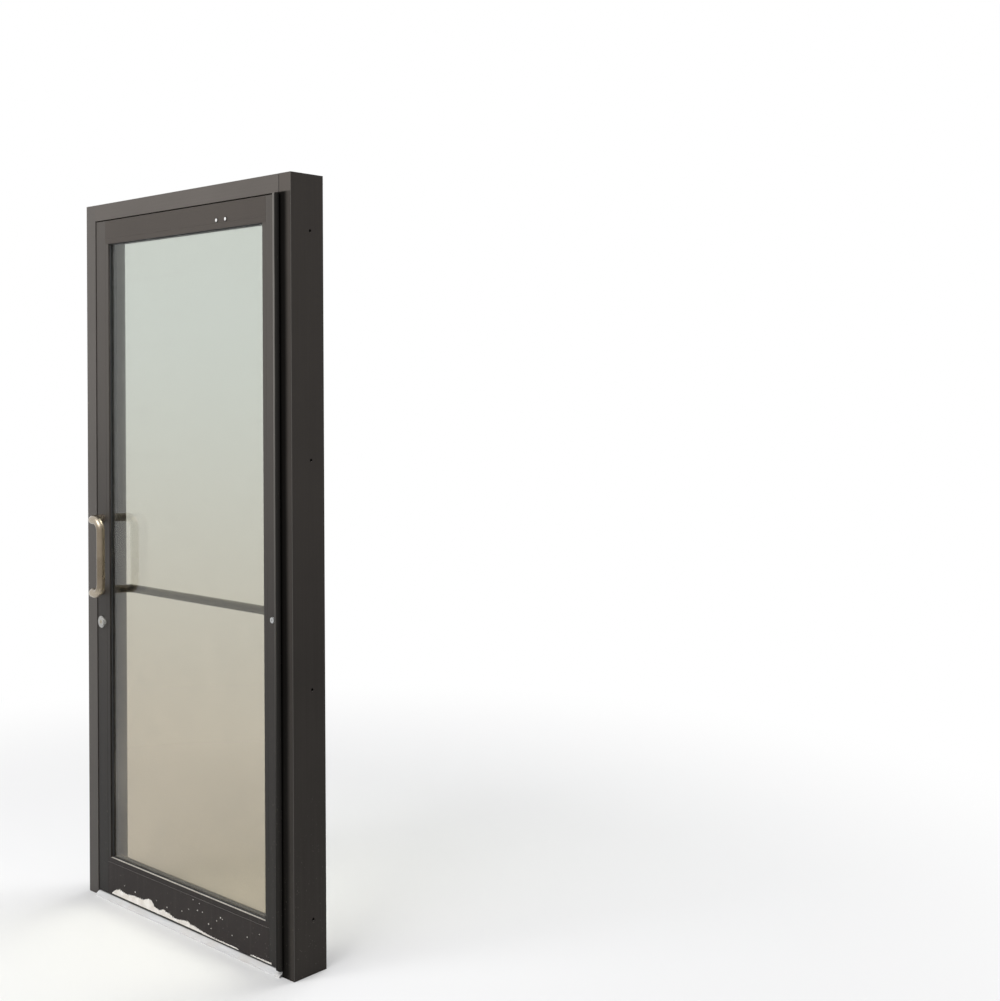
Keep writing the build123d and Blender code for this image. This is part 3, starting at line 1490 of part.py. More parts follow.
with BuildPart() as closer_shoe:
    with BuildSketch(Plane.XZ.offset(-y_leaf_back)):
        with Locations((shoe_x, z_shoe + shoe_plate_rise)):
            RectangleRounded(shoe_width, shoe_height, shoe_corner)
    extrude(amount=-shoe_plate)
    with BuildSketch(Plane.XY.offset(z_shelf_top - shoe_plate)):
        with Locations((shoe_x, y_shoe_pivot)):
            Circle(shelf_radius)
        with Locations((shoe_x, (y_leaf_back + y_shoe_pivot) / 2)):
            Rectangle(2 * shelf_radius, y_shoe_pivot - y_leaf_back)
    extrude(amount=shoe_plate)
    with BuildSketch(Plane.XY.offset(z_shelf_top)):
        with Locations((shoe_x, y_shoe_pivot)):
            Circle(stud_radius)
    extrude(amount=z_forearm_top + stud_above - z_shelf_top)
    with BuildSketch(Plane.XZ.offset(-y_leaf_back)):
        with Locations(*shoe_bolt_places):
            Circle(sleeve_bore + screw_clearance)
    extrude(amount=-shoe_plate, mode=Mode.SUBTRACT)
closer_shoe.part.label = "closer_shoe"
export_step(closer_shoe.part, "parts/closer_shoe.step")

with BuildPart() as shoe_bolts:
    with BuildSketch(Plane.XZ.offset(-y_leaf_front)):
        with Locations(*shoe_bolt_places):
            Circle(sex_bolt_head)
    extrude(amount=sex_bolt_dome, taper=sex_bolt_taper)
    with BuildSketch(Plane.XZ.offset(-y_leaf_front)):
        with Locations(*shoe_bolt_places):
            Circle(sex_bolt_radius)
    extrude(amount=-(leaf_thickness - sleeve_end_gap))
    with BuildSketch(Plane.XZ.offset(-y_leaf_front)):
        with Locations(*shoe_bolt_places):
            Circle(sleeve_bore)
    extrude(amount=-leaf_thickness, mode=Mode.SUBTRACT)
    with BuildSketch(Plane.XZ.offset(-(y_leaf_back + shoe_plate))):
        with Locations(*shoe_bolt_places):
            Circle(sex_bolt_head)
    extrude(amount=-sex_bolt_dome, taper=sex_bolt_taper)
    with BuildSketch(Plane.XZ.offset(-(y_leaf_back + shoe_plate))):
        with Locations(*shoe_bolt_places):
            Circle(sleeve_bore - sex_bolt_clearance)
    extrude(amount=leaf_thickness / 2 + shoe_plate)
shoe_bolts.part.label = "shoe_bolts"
export_step(shoe_bolts.part, "parts/shoe_bolts.step")

# Bottom sweep on the inside of the bottom rail

sweep_length = opening_width - 2 * (door_stop_face + sweep_end_gap)
z_sweep_low = z_leaf_bottom + sweep_rise
z_fin_low = threshold_height + sweep_clearance
z_fin_top = z_sweep_low + sweep_slot_depth
y_fin = y_leaf_back + sweep_thickness / 2
fixing_slot_pitch = (sweep_length - 2 * fixing_slot_end) / (fixing_slot_count - 1)
z_fixing_slot = z_sweep_low + sweep_height * 2 / 3

with BuildPart() as sweep_carrier:
    with BuildSketch(Plane.YZ.offset(-sweep_length / 2)):
        with Locations((y_fin, z_sweep_low + sweep_height / 2)):
            RectangleRounded(sweep_thickness, sweep_height, sweep_corner)
        with Locations((y_fin, z_sweep_low)):
            Rectangle(sweep_fin + 2 * sweep_slot_clearance, 2 * sweep_slot_depth, mode=Mode.SUBTRACT)
    extrude(amount=sweep_length)
    with BuildSketch(Plane.XZ.offset(-y_leaf_back)):
        with Locations((0, z_fixing_slot)):
            with GridLocations(fixing_slot_pitch, 0, fixing_slot_count, 1):
                SlotOverall(fixing_slot_length, fixing_slot_width, rotation=90)
    extrude(amount=-sweep_thickness, mode=Mode.SUBTRACT)
sweep_carrier.part.label = "sweep_carrier"
export_step(sweep_carrier.part, "parts/sweep_carrier.step")

with BuildPart() as sweep_blade:
    with BuildSketch(Plane.YZ.offset(-sweep_length / 2)):
        with Locations((y_fin, (z_fin_low + z_fin_top) / 2)):
            Rectangle(sweep_fin, z_fin_top - z_fin_low)
    extrude(amount=sweep_length)
sweep_blade.part.label = "sweep_blade"
export_step(sweep_blade.part, "parts/sweep_blade.step")
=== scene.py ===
"""A glass door in its frame: narrow-stile aluminium leaf, insulated glass, continuous hinge,
pull and push bar, lock, closer and threshold, dressed over the fixed frame of its solids."""
import math

import bmesh
import bpy
from mathutils import Matrix, Vector, noise


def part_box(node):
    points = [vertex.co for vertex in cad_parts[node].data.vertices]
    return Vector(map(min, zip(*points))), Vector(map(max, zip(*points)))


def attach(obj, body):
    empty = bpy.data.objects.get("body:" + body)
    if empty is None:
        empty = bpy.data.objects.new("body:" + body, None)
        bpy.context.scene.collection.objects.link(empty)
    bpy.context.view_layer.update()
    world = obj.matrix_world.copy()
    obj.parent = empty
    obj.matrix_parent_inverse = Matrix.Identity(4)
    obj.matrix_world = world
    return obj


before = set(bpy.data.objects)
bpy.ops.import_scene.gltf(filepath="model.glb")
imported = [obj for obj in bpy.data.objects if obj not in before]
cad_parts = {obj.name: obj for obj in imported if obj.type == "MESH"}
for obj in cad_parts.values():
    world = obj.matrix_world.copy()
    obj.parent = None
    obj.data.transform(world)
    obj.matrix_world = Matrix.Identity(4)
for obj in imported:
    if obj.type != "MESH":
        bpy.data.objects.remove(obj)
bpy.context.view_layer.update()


# Camera and light: a level camera at eye height to the right of the door, and three large soft
# lamps, high in front like an overcast sky, at the lock side, and behind for the room side. The
# lamp at the lock side gives its light without showing in the glass and the metal.
camera_data = bpy.data.cameras.new("camera")
camera_data.sensor_fit = "HORIZONTAL"
camera_data.sensor_width = 36.0
camera_data.lens = 48.13
camera_data.shift_y = -0.1092
camera_data.clip_end = 100.0
camera = bpy.data.objects.new("camera", camera_data)
bpy.context.collection.objects.link(camera)
eye = (3.323, -2.370, 1.589)
yaw = math.radians(41.73)
level = math.pi / 2
roll = math.radians(-0.276)
camera.matrix_world = (
    Matrix.Translation(eye)
    @ Matrix.Rotation(yaw, 4, "Z")
    @ Matrix.Rotation(level, 4, "X")
    @ Matrix.Rotation(roll, 4, "Z")
)
bpy.context.scene.camera = camera
bpy.context.scene.view_settings.view_transform = "Standard"


def soft_lamp(name, place, aim, width, height, power, mirrored=True):
    """A rectangular lamp that faces a point, and shows in mirrors or doesn't."""
    data = bpy.data.lights.new(name, "AREA")
    data.shape = "RECTANGLE"
    data.size = width
    data.size_y = height
    data.energy = power
    lamp = bpy.data.objects.new(name, data)
    bpy.context.collection.objects.link(lamp)
    lamp.visible_glossy = mirrored
    lamp.visible_transmission = mirrored
    lamp.location = place
    lamp.rotation_euler = (Vector(aim) - Vector(place)).to_track_quat("-Z", "Y").to_euler()


upper_door = (0.0, 0.0, 1.3)
door_middle = (0.0, 0.0, 1.1)
soft_lamp("sky_lamp", place=(0.4, -3.4, 4.8), aim=upper_door, width=4.0, height=3.0, power=180.0)
soft_lamp(
    "side_lamp", place=(-2.0, -3.9, 2.4), aim=upper_door, width=1.8, height=3.0, power=50.0,
    mirrored=False)
soft_lamp("back_lamp", place=(0.4, 3.0, 5.5), aim=door_middle, width=3.6, height=2.8, power=150.0)


# Floor and surroundings: a plain pale floor that keeps the door's shadow, and fades away from
# the door into a white surround. The eye sees that white, and so do metal and glass, while the
# surround lights the door with a dimmer and slightly cool fill.
class Value:
    """One output of a shader node, with Python's operators standing for Math nodes."""

    def __init__(self, tree, owner=None, out=0):
        self.tree = tree
        self.owner = owner
        self.socket = owner.outputs[out] if owner and owner.outputs else None

    def node(self, kind, settings=None, out=0, **inputs):
        """Adds a node of any type: its settings first, then its sockets. Gives one output."""
        made = self.tree.nodes.new(kind)
        for name, value in (settings or {}).items():
            setattr(made, name, value)
        return Value(self.tree, made, out).feed(**inputs)

    def feed(self, **inputs):
        """Links or sets sockets of this value's own node: s0 is the first, others by name."""
        for name, value in inputs.items():
            key = int(name[1:]) if name[1:].isdigit() else name.replace("_", " ")
            socket = self.owner.inputs[key]
            if isinstance(value, Value):
                self.tree.links.new(value.socket, socket)
            elif socket.type == "RGBA":
                socket.default_value = (*value, 1.0)
            else:
                socket.default_value = value
        return self

    def maths(self, operation, first, second):
        return self.node("ShaderNodeMath", {"operation": operation}, s0=first, s1=second)

    def __add__(self, other):
        return self.maths("ADD", self, other)

    def __radd__(self, other):
        return self.maths("ADD", other, self)

    def __sub__(self, other):
        return self.maths("SUBTRACT", self, other)

    def __rsub__(self, other):
        return self.maths("SUBTRACT", other, self)

    def __mul__(self, other):
        return self.maths("MULTIPLY", self, other)

    def __rmul__(self, other):
        return self.maths("MULTIPLY", other, self)

    def step(self, low, high):
        """0 at low and 1 at high, with a smooth change between and none beyond."""
        return self.node(
            "ShaderNodeMapRange", {"interpolation_type": "SMOOTHSTEP"},
            s0=self, s1=low, s2=high, s3=0.0, s4=1.0)

    def beyond(self, near, far):
        """0 up to near and 1 from far on, to either side of zero."""
        return (self * self).step(near ** 2, far ** 2)

    def between(self, first, second):
        """Mixes two colours: the first where this value is 0, the second where it is 1."""
        return self.node(
            "ShaderNodeMix", {"data_type": "RGBA"}, out=2, s0=self, s6=first, s7=second)


class Finish:
    """A material with a Principled shader, and the object's own coordinates to paint it by."""

    def __init__(self, name, **sockets):
        self.material = bpy.data.materials.new(name)
        self.material.use_nodes = True
        self.material.node_tree.nodes.clear()
        self.start = Value(self.material.node_tree)
        self.shader = self.start.node("ShaderNodeBsdfPrincipled")
        self.output = self.start.node("ShaderNodeOutputMaterial", Surface=self.shader)
        self.place = self.start.node("ShaderNodeTexCoord", out="Object")
        self.set(**sockets)

    def set(self, **sockets):
        self.shader.feed(**sockets)

    def axis(self, letter):
        """One coordinate of the point, in metres."""
        return self.start.node("ShaderNodeSeparateXYZ", out=letter, s0=self.place)

    def facing(self, letter):
        """How far the surface faces along an axis, from -1 to 1."""
        normal = self.start.node("ShaderNodeTexCoord", out="Normal")
        return self.start.node("ShaderNodeSeparateXYZ", out=letter, s0=normal)

    def stretched(self, x, y, z):
        """The point with its coordinates scaled, for a pattern drawn out along an axis."""
        return self.start.node(
            "ShaderNodeVectorMath", {"operation": "MULTIPLY"}, s0=self.place, s1=(x, y, z))

    def noise(self, scale, detail=3.0, roughness=0.55, at=None):
        return self.start.node(
            "ShaderNodeTexNoise", Vector=at or self.place, Scale=scale, Detail=detail,
            Roughness=roughness)

    def bump(self, height, strength, distance):
        """Raises the surface by a height map, distance in metres."""
        self.set(Normal=self.start.node(
            "ShaderNodeBump", Height=height, Strength=strength, Distance=distance))


def watched(start):
    """1 for what the eye looks at, straight, in a mirroring surface or through glass."""
    straight, mirrored, through = (
        start.node("ShaderNodeLightPath", out=f"Is {ray} Ray")
        for ray in ("Camera", "Glossy", "Transmission"))
    return straight + mirrored + through


floor_reach = 30.0
below_sill = -0.0005
floor_mesh = bpy.data.meshes.new("floor")
floor_shape = bmesh.new()
bmesh.ops.create_grid(floor_shape, x_segments=1, y_segments=1, size=floor_reach)
bmesh.ops.translate(floor_shape, vec=(0.0, 0.0, below_sill), verts=floor_shape.verts)
floor_shape.to_mesh(floor_mesh)
floor_shape.free()
floor = bpy.data.objects.new("floor", floor_mesh)
bpy.context.collection.objects.link(floor)

pale = Finish(
    "pale_floor", Base_Color=(0.84, 0.835, 0.825), Roughness=0.9, Specular_IOR_Level=0.1)
floor_mesh.materials.append(pale.material)
fade_starts, fade_ends = 0.9, 3.4
from_door = pale.start.node(
    "ShaderNodeVectorMath", {"operation": "LENGTH"}, out="Value", s0=pale.place)
glow = pale.start.node("ShaderNodeEmission", Color=(1.0, 1.0, 1.0), Strength=1.0)
faded = from_door.step(fade_starts, fade_ends) * watched(pale.start)
pale.output.feed(
    Surface=pale.start.node("ShaderNodeMixShader", s0=faded, s1=pale.shader, s2=glow))

world = bpy.data.worlds.new("surround")
bpy.context.scene.world = world
world.use_nodes = True
world.node_tree.nodes.clear()
around = Value(world.node_tree)
white = around.node("ShaderNodeBackground", Color=(1.0, 1.0, 1.0), Strength=1.0)
fill = around.node("ShaderNodeBackground", Color=(0.93, 0.95, 1.0), Strength=0.42)
around.node(
    "ShaderNodeOutputWorld",
    Surface=around.node("ShaderNodeMixShader", s0=watched(around), s1=fill, s2=white))


# Frame tubes and door stops: extruded aluminium, anodised dark bronze, with fine drawing lines
# and dust low down, painted darker towards the foot as shade and lighter at the jambs' outer
# corners as a painted highlight. Clips hold the header between the jambs, and the stops snap on.
# The hinge jamb is painted darker than the lock jamb, and near black beside the cap as the cap's
# painted shadow, but above the leaf, past the joint's dark line, its front is painted lighter
# again.
def dress(material, *names):
    """Gives CAD nodes their finish."""
    for name in names:
        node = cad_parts[name]
        if not node.material_slots:
            node.data.materials.append(material)
        for slot in node.material_slots:
            slot.link = "DATA"
            slot.material = material


frame_low, frame_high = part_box("lock_jamb")
half_width, half_depth = -frame_low.x, frame_high.y


def anodised(name, colour, drawn="Z", rough=0.42, low=0.72, laid=0.55, gloss=0.35, painted_shadow_span=None,
             unshadowed_from=None):
    """Anodised skin, drawn along one axis. low is how dark it is painted at the foot, a painted
    shade, laid the dust on what faces up, painted_shadow_span the X places where the painted
    shadow is full and where it ends, and unshadowed_from the height above which a shadowed bar is
    left unshaded in front."""
    dust_reach = 0.9
    painted_edge_highlight = (0.21, 0.205, 0.19)
    clinging_dust = (0.17, 0.155, 0.135)
    settled_dust = (0.66, 0.63, 0.58)
    along_bar = {"X": (2.0, 240.0, 240.0), "Z": (240.0, 240.0, 2.0)}[drawn]

    def shade(share):
        return tuple(part * share for part in colour)

    finish = Finish(name, Metallic=0.15, IOR=1.4, Specular_IOR_Level=gloss)
    across, height = finish.axis("X"), finish.axis("Z")
    lines = finish.noise(1.0, 2.0, 0.6, at=finish.stretched(*along_bar))
    cloud = finish.noise(2.0, 4.0, 0.6)
    tone = (cloud * 0.65 + lines * 0.35).step(0.25, 0.75)
    # Painted shade: the skin is painted darker towards the foot, by low, and lighter towards the
    # head.
    rise = height.step(0.1, 2.1)
    skin = tone.between(
        rise.between(shade(0.86 * low), shade(0.92)),
        rise.between(shade(1.12 * low), shade(1.12)))

    # Painted highlight: the outer corner of the jamb tubes is painted lighter.
    at_side = across.beyond(half_width - 0.00100, half_width - 0.00020)
    at_face = finish.axis("Y").beyond(half_depth - 0.00115, half_depth - 0.00025)
    skin = (at_side * at_face * 0.5).between(skin, painted_edge_highlight)

    streaks = finish.noise(1.0, 3.0, 0.6, at=finish.stretched(55.0, 55.0, 1.6)).step(0.5, 0.8)
    spatter = finish.noise(190.0, 2.0, 0.5).step(0.69, 0.74)
    near_ground = 1.0 - height.step(0.0, dust_reach)
    film = near_ground * (streaks * 0.08 + spatter * 0.45 + 0.03)
    settled = finish.facing("Z").step(0.6, 0.95) * (0.3 + finish.noise(30.0, 3.0) * 0.7) * laid

    roughness = rough + lines * 0.10 + film * 0.25
    # Painted shadow: from the X places given, the skin is painted near black. Above the given
    # height, the front past the joint is left unshaded and painted lighter.
    if painted_shadow_span:
        painted_shadow = 1.0 - (across + cloud * 0.008).step(*painted_shadow_span)
        if unshadowed_from:
            in_front = (finish.facing("Y") * -1.0).step(0.5, 0.9)
            past_joint = across.step(0.4586, 0.4594)
            unshadowed = height.step(unshadowed_from, unshadowed_from + 0.005) * in_front * past_joint
            skin = unshadowed.between(skin, shade(1.85))
            painted_shadow = painted_shadow * (1.0 - unshadowed)
        skin = painted_shadow.between(skin, shade(0.10))
        roughness = roughness + painted_shadow * 0.45
    finish.set(Base_Color=settled.between(film.between(skin, clinging_dust), settled_dust))
    finish.set(Roughness=roughness)
    finish.bump(lines, 0.10, 0.0002)
    return finish.material


frame_bronze = anodised("frame_bronze", (0.091, 0.082, 0.074))
header_bronze = anodised("header_bronze", (0.094, 0.083, 0.074), drawn="X", laid=0.12)
# The hinge jamb is painted darker than the lock jamb as painted shade, and near black beside the
# cap as the cap's painted shadow.
hinge_jamb_bronze = anodised(
    "hinge_jamb_bronze", (0.052, 0.046, 0.041), low=0.7, gloss=0.05, painted_shadow_span=(0.482, 0.503),
    unshadowed_from=2.131)
dress(frame_bronze, "lock_jamb", "lock_door_stop", "hinge_door_stop")
dress(header_bronze, "header", "head_door_stop")
dress(hinge_jamb_bronze, "hinge_jamb")

# Leaf tubes and glass stops: the same anodised tube, a shade darker, with rails drawn up between
# the stiles by tie rods and stops that snap in. The leaf is painted much darker towards its foot,
# a painted shade, and the bottom rail is painted darkest, as the shade low down, and is the
# dustiest;
# the carrier of the sweep is screwed to it.
# Painted shade: low=0.18 paints the leaf much darker towards its foot.
leaf_bronze = anodised("leaf_bronze", (0.071, 0.063, 0.056), low=0.18)
top_rail_bronze = anodised("top_rail_bronze", (0.057, 0.048, 0.041), drawn="X")
# The bottom rail's near-black colour is painted shade low down.
bottom_rail_bronze = anodised(
    "bottom_rail_bronze", (0.026, 0.020, 0.019), drawn="X", low=0.7, laid=1.0, gloss=0.25)
dress(leaf_bronze, "lock_stile", "hinge_stile", "outer_lock_stop", "outer_hinge_stop",
      "inner_lock_stop", "inner_hinge_stop")
dress(top_rail_bronze, "top_rail", "outer_top_stop", "inner_top_stop")
dress(bottom_rail_bronze, "bottom_rail", "outer_bottom_stop", "inner_bottom_stop",
      "sweep_carrier")

# Continuous hinge: two toothed aluminium leaves, screwed to the jamb and the leaf, in a clip-on
# cap that runs the full height. The cap's colour is painted lighter than the other bronze, a
# painted highlight on its rounded strip, near black at its foot as painted shade, and dark along
# its outer side as painted shade. The bearings are black acetal blocks.
# Painted highlight and shade: a light colour, low=0.04 for a near-black foot, and a painted shadow
# along the outer side.
cap_bronze = anodised(
    "cap_bronze", (0.165, 0.155, 0.142), low=0.04, gloss=0.05, painted_shadow_span=(0.4600, 0.4535))
hinge_bronze = anodised("hinge_bronze", (0.045, 0.039, 0.035), rough=0.38)
dress(cap_bronze, "hinge_cap")
dress(hinge_bronze, "hinge_frame_leaf", "hinge_door_leaf")
acetal = Finish("black_acetal", Base_Color=(0.012, 0.012, 0.013), Roughness=0.42)
acetal.bump(acetal.noise(900.0, 2.0), 0.1, 0.0001)
dress(acetal.material, "hinge_bearings")


# Glass: two lites of a sealed unit, gripped by the gaskets, painted a darker warm grey low down
# and a lighter blue towards the head, a painted reflection of ground and sky, with wiping marks
# and a thin film of dust, mostly on the outer one. Light falls through them to what stands behind.
def pane(name, low_tint, high_tint, film):
    dust = (0.50, 0.47, 0.42)
    daylight = (0.86, 0.87, 0.85)
    finish = Finish(name, Metallic=0.0, IOR=1.45, Roughness=0.0, Transmission_Weight=1.0)
    height = finish.axis("Z")
    # Painted reflection: the tint runs from a darker warm grey low down to a lighter blue towards
    # the head.
    finish.set(Base_Color=height.step(0.2, 1.95).between(low_tint, high_tint))
    smear = finish.noise(3.0, 5.0, 0.62).step(0.45, 0.85)
    wiped = finish.noise(1.0, 3.0, 0.6, at=finish.stretched(1.6, 1.6, 26.0)).step(0.55, 0.9)
    low = 1.0 - height.step(0.1, 1.5)
    share = (smear * low * 0.10 + (smear + wiped) * 0.02 + low * 0.02) * film
    dusty = finish.start.node("ShaderNodeBsdfDiffuse", Color=dust, Roughness=0.5)
    shown = finish.start.node("ShaderNodeMixShader", s0=share, s1=finish.shader, s2=dusty)
    shadow = finish.start.node("ShaderNodeLightPath", out="Is Shadow Ray")
    lets_by = finish.start.node("ShaderNodeBsdfTransparent", Color=daylight)
    finish.output.feed(
        Surface=finish.start.node("ShaderNodeMixShader", s0=shadow, s1=shown, s2=lets_by))
    return finish.material


outer_glass = pane(
    "outer_glass", low_tint=(0.64, 0.595, 0.49), high_tint=(0.72, 0.755, 0.71), film=1.0)
inner_glass = pane(
    "inner_glass", low_tint=(0.74, 0.70, 0.645), high_tint=(0.78, 0.795, 0.77), film=0.4)
dress(outer_glass, "outer_lite")
dress(inner_glass, "inner_lite")

# Spacer: a hollow aluminium bar, coated matt black, bonded between the two lites all round the
# edge of the unit.
spacer = Finish("spacer_black", Metallic=0.0)
coating = spacer.noise(60.0).step(0.3, 0.7)
spacer.set(Base_Color=coating.between((0.010, 0.010, 0.011), (0.020, 0.020, 0.021)))
spacer.set(Roughness=0.55 + spacer.noise(300.0) * 0.1)
dress(spacer.material, "glass_spacer")


# Gaskets, weatherstrips and sweep: black extruded rubber, matt, with a pale bloom in patches.
# Gaskets and weatherstrips are pressed by a barb into slots of the stops, the blade hangs in the
# sweep's carrier, and the glass stands on two blocks.
def rubber(name, bloom=0.035):
    finish = Finish(name, Metallic=0.0)
    patch = finish.noise(18.0, 4.0).step(0.4, 0.8)
    bloomed = (bloom, bloom * 0.96, bloom * 0.9)
    finish.set(Base_Color=patch.between((0.010, 0.010, 0.011), bloomed))
    finish.set(Roughness=0.62 + patch * 0.2)
    finish.bump(finish.noise(700.0, 2.0), 0.15, 0.0001)
    return finish.material


dress(rubber("gasket_rubber"), "outer_gasket", "inner_gasket", "setting_blocks")
dress(rubber("seal_rubber", bloom=0.05), "lock_weatherstrip", "hinge_weatherstrip",
      "head_weatherstrip", "sweep_blade")

# Threshold: a fluted aluminium saddle, screwed to the floor and left in its mill finish, dulled
# to pale grey by cement dust, with a near-black painted shadow in the strip under the leaf.
pale_scuff, bright_scuff = (0.62, 0.62, 0.615), (0.76, 0.76, 0.755)
cement_dust = (0.65, 0.625, 0.59)
painted_gap_shadow = (0.055, 0.050, 0.044)
sill = Finish("threshold_aluminium", Metallic=0.15)
scuffs = sill.noise(1.0, 4.0, 0.6, at=sill.stretched(6.0, 60.0, 60.0)).step(0.3, 0.72)
dusty_patch = sill.noise(9.0, 5.0, 0.65).step(0.42, 0.7)
dulled = (dusty_patch * 0.75).between(scuffs.between(pale_scuff, bright_scuff), cement_dust)
sill_depth = sill.axis("Y")
# Painted shadow: the strip under the leaf's bottom edge is painted near black.
under_leaf = sill_depth.step(-0.0555, -0.0500) * (1.0 - sill_depth.step(-0.030, -0.012))
sill.set(Base_Color=(under_leaf * (0.72 + dusty_patch * 0.2)).between(dulled, painted_gap_shadow))
sill.set(Roughness=0.40 + dusty_patch * 0.30 + under_leaf * 0.2)
sill.bump(scuffs, 0.2, 0.0002)
dress(sill.material, "threshold")


# Steel, chrome and clips: zinc-plated screws, rods and nuts, plain steel lock and strike, satin
# chrome cylinders with a nickel plug, and two bright bolts through the top rail, whose domes are
# painted dark round the crown, a painted reflection of dark surroundings. Clips and corner blocks
# are aluminium in its mill finish.
def metal(name, colour, rough, brushed=0.0):
    finish = Finish(name, Metallic=1.0)
    wear = finish.noise(40.0, 4.0).step(0.35, 0.75)
    finish.set(Base_Color=wear.between(tuple(part * 0.86 for part in colour), colour))
    finish.set(Roughness=rough + wear * 0.10 + finish.noise(500.0, 2.0) * 0.05)
    if brushed:
        brush = finish.noise(1.0, 2.0, at=finish.stretched(30.0, 30.0, 900.0))
        finish.bump(brush, brushed, 0.0002)
    return finish.material


zinc = metal("zinc_steel", (0.52, 0.53, 0.53), rough=0.34)
plain_steel = metal("plain_steel", (0.44, 0.44, 0.43), rough=0.30, brushed=0.15)
satin_chrome = metal("satin_chrome", (0.43, 0.425, 0.41), rough=0.16)
plug_nickel = metal("plug_nickel", (0.46, 0.43, 0.36), rough=0.24)
mill_aluminium = metal("mill_aluminium", (0.62, 0.62, 0.62), rough=0.36, brushed=0.2)
domed = Finish("domed_chrome", Metallic=1.0)
# Painted reflection: the dome is painted near black round its bright crown.
outward = domed.facing("Y")
crown = (outward * outward).step(0.62, 0.93)
domed.set(Base_Color=crown.between((0.030, 0.028, 0.026), (0.86, 0.86, 0.85)))
domed.set(Roughness=0.30 - crown * 0.20 + domed.noise(60.0) * 0.04)
dress(zinc, "frame_screws", "hinge_frame_screws", "hinge_door_screws", "tie_rods",
      "tie_rod_nuts", "handle_bolts", "closer_pinion")
dress(plain_steel, "strike_plate", "lock_case", "lock_faceplate", "dead_bolt")
dress(satin_chrome, "outer_cylinder", "cylinder_collar", "inner_cylinder", "thumbturn")
dress(plug_nickel, "key_plug")
dress(mill_aluminium, "header_clips", "corner_blocks")
dress(domed.material, "shoe_bolts")

# Pull, push bar and closer: the pull is a bent round bar, anodised a lighter champagne bronze
# and painted pale at its bends as a highlight; the push bar is dark bronze, and both are bolted to
# the stiles.
# The closer and its arms are sprayed dark bronze with a fine orange-peel.
def middle(node):
    """The middle of a CAD node's box."""
    lowest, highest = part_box(node)
    return (lowest + highest) / 2


champagne = Finish("champagne_bronze", Metallic=0.9)
handled = champagne.noise(14.0, 4.0).step(0.35, 0.75)
# Painted highlight: the pull's bends are painted paler and a little smoother.
highlit_bends = (champagne.axis("Z") - middle("pull_handle").z).beyond(0.088, 0.112)
champagne_skin = handled.between((0.185, 0.150, 0.107), (0.255, 0.210, 0.154))
champagne.set(Base_Color=(highlit_bends * 0.75).between(champagne_skin, (0.46, 0.40, 0.32)))
champagne.set(Roughness=0.27 + handled * 0.08 - highlit_bends * 0.03)
turning = champagne.noise(1.0, 2.0, at=champagne.stretched(300.0, 300.0, 12.0))
champagne.bump(turning, 0.08, 0.0002)
dress(champagne.material, "pull_handle")
bar_bronze = anodised(
    "bar_bronze", (0.026, 0.021, 0.015), drawn="X", rough=0.34, laid=0.2, gloss=0.2)
dress(bar_bronze, "push_bar")
sprayed = Finish("sprayed_bronze", Metallic=0.15)
coat = sprayed.noise(20.0).step(0.3, 0.7)
sprayed.set(Base_Color=coat.between((0.050, 0.043, 0.038), (0.066, 0.057, 0.050)))
sprayed.set(Roughness=0.40 + sprayed.noise(60.0) * 0.1)
sprayed.bump(sprayed.noise(420.0, 2.0), 0.25, 0.0003)
dress(sprayed.material, "closer_body", "closer_screws", "closer_arm", "closer_forearm",
      "closer_shoe")


# Small screws: zinc-plated, with a cross recess. Two flat heads sink into the lock's faceplate
# at the stile's edge, and four pan heads hold the sweep's carrier to the bottom rail through its
# slots.
def piece(name, shape, material, body, smooth_to=35.0):
    """Closes a shape into an object that rides on one of the door's bodies."""
    bmesh.ops.recalc_face_normals(shape, faces=shape.faces)
    mesh = bpy.data.meshes.new(name)
    shape.to_mesh(mesh)
    shape.free()
    mesh.materials.append(material)
    mesh.shade_smooth()
    mesh.set_sharp_from_angle(angle=math.radians(smooth_to))
    made = bpy.data.objects.new(name, mesh)
    bpy.context.collection.objects.link(made)
    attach(made, body)


def corners(grown):
    """The corners that an extrusion has made."""
    return [item for item in grown["geom"] if isinstance(item, bmesh.types.BMVert)]


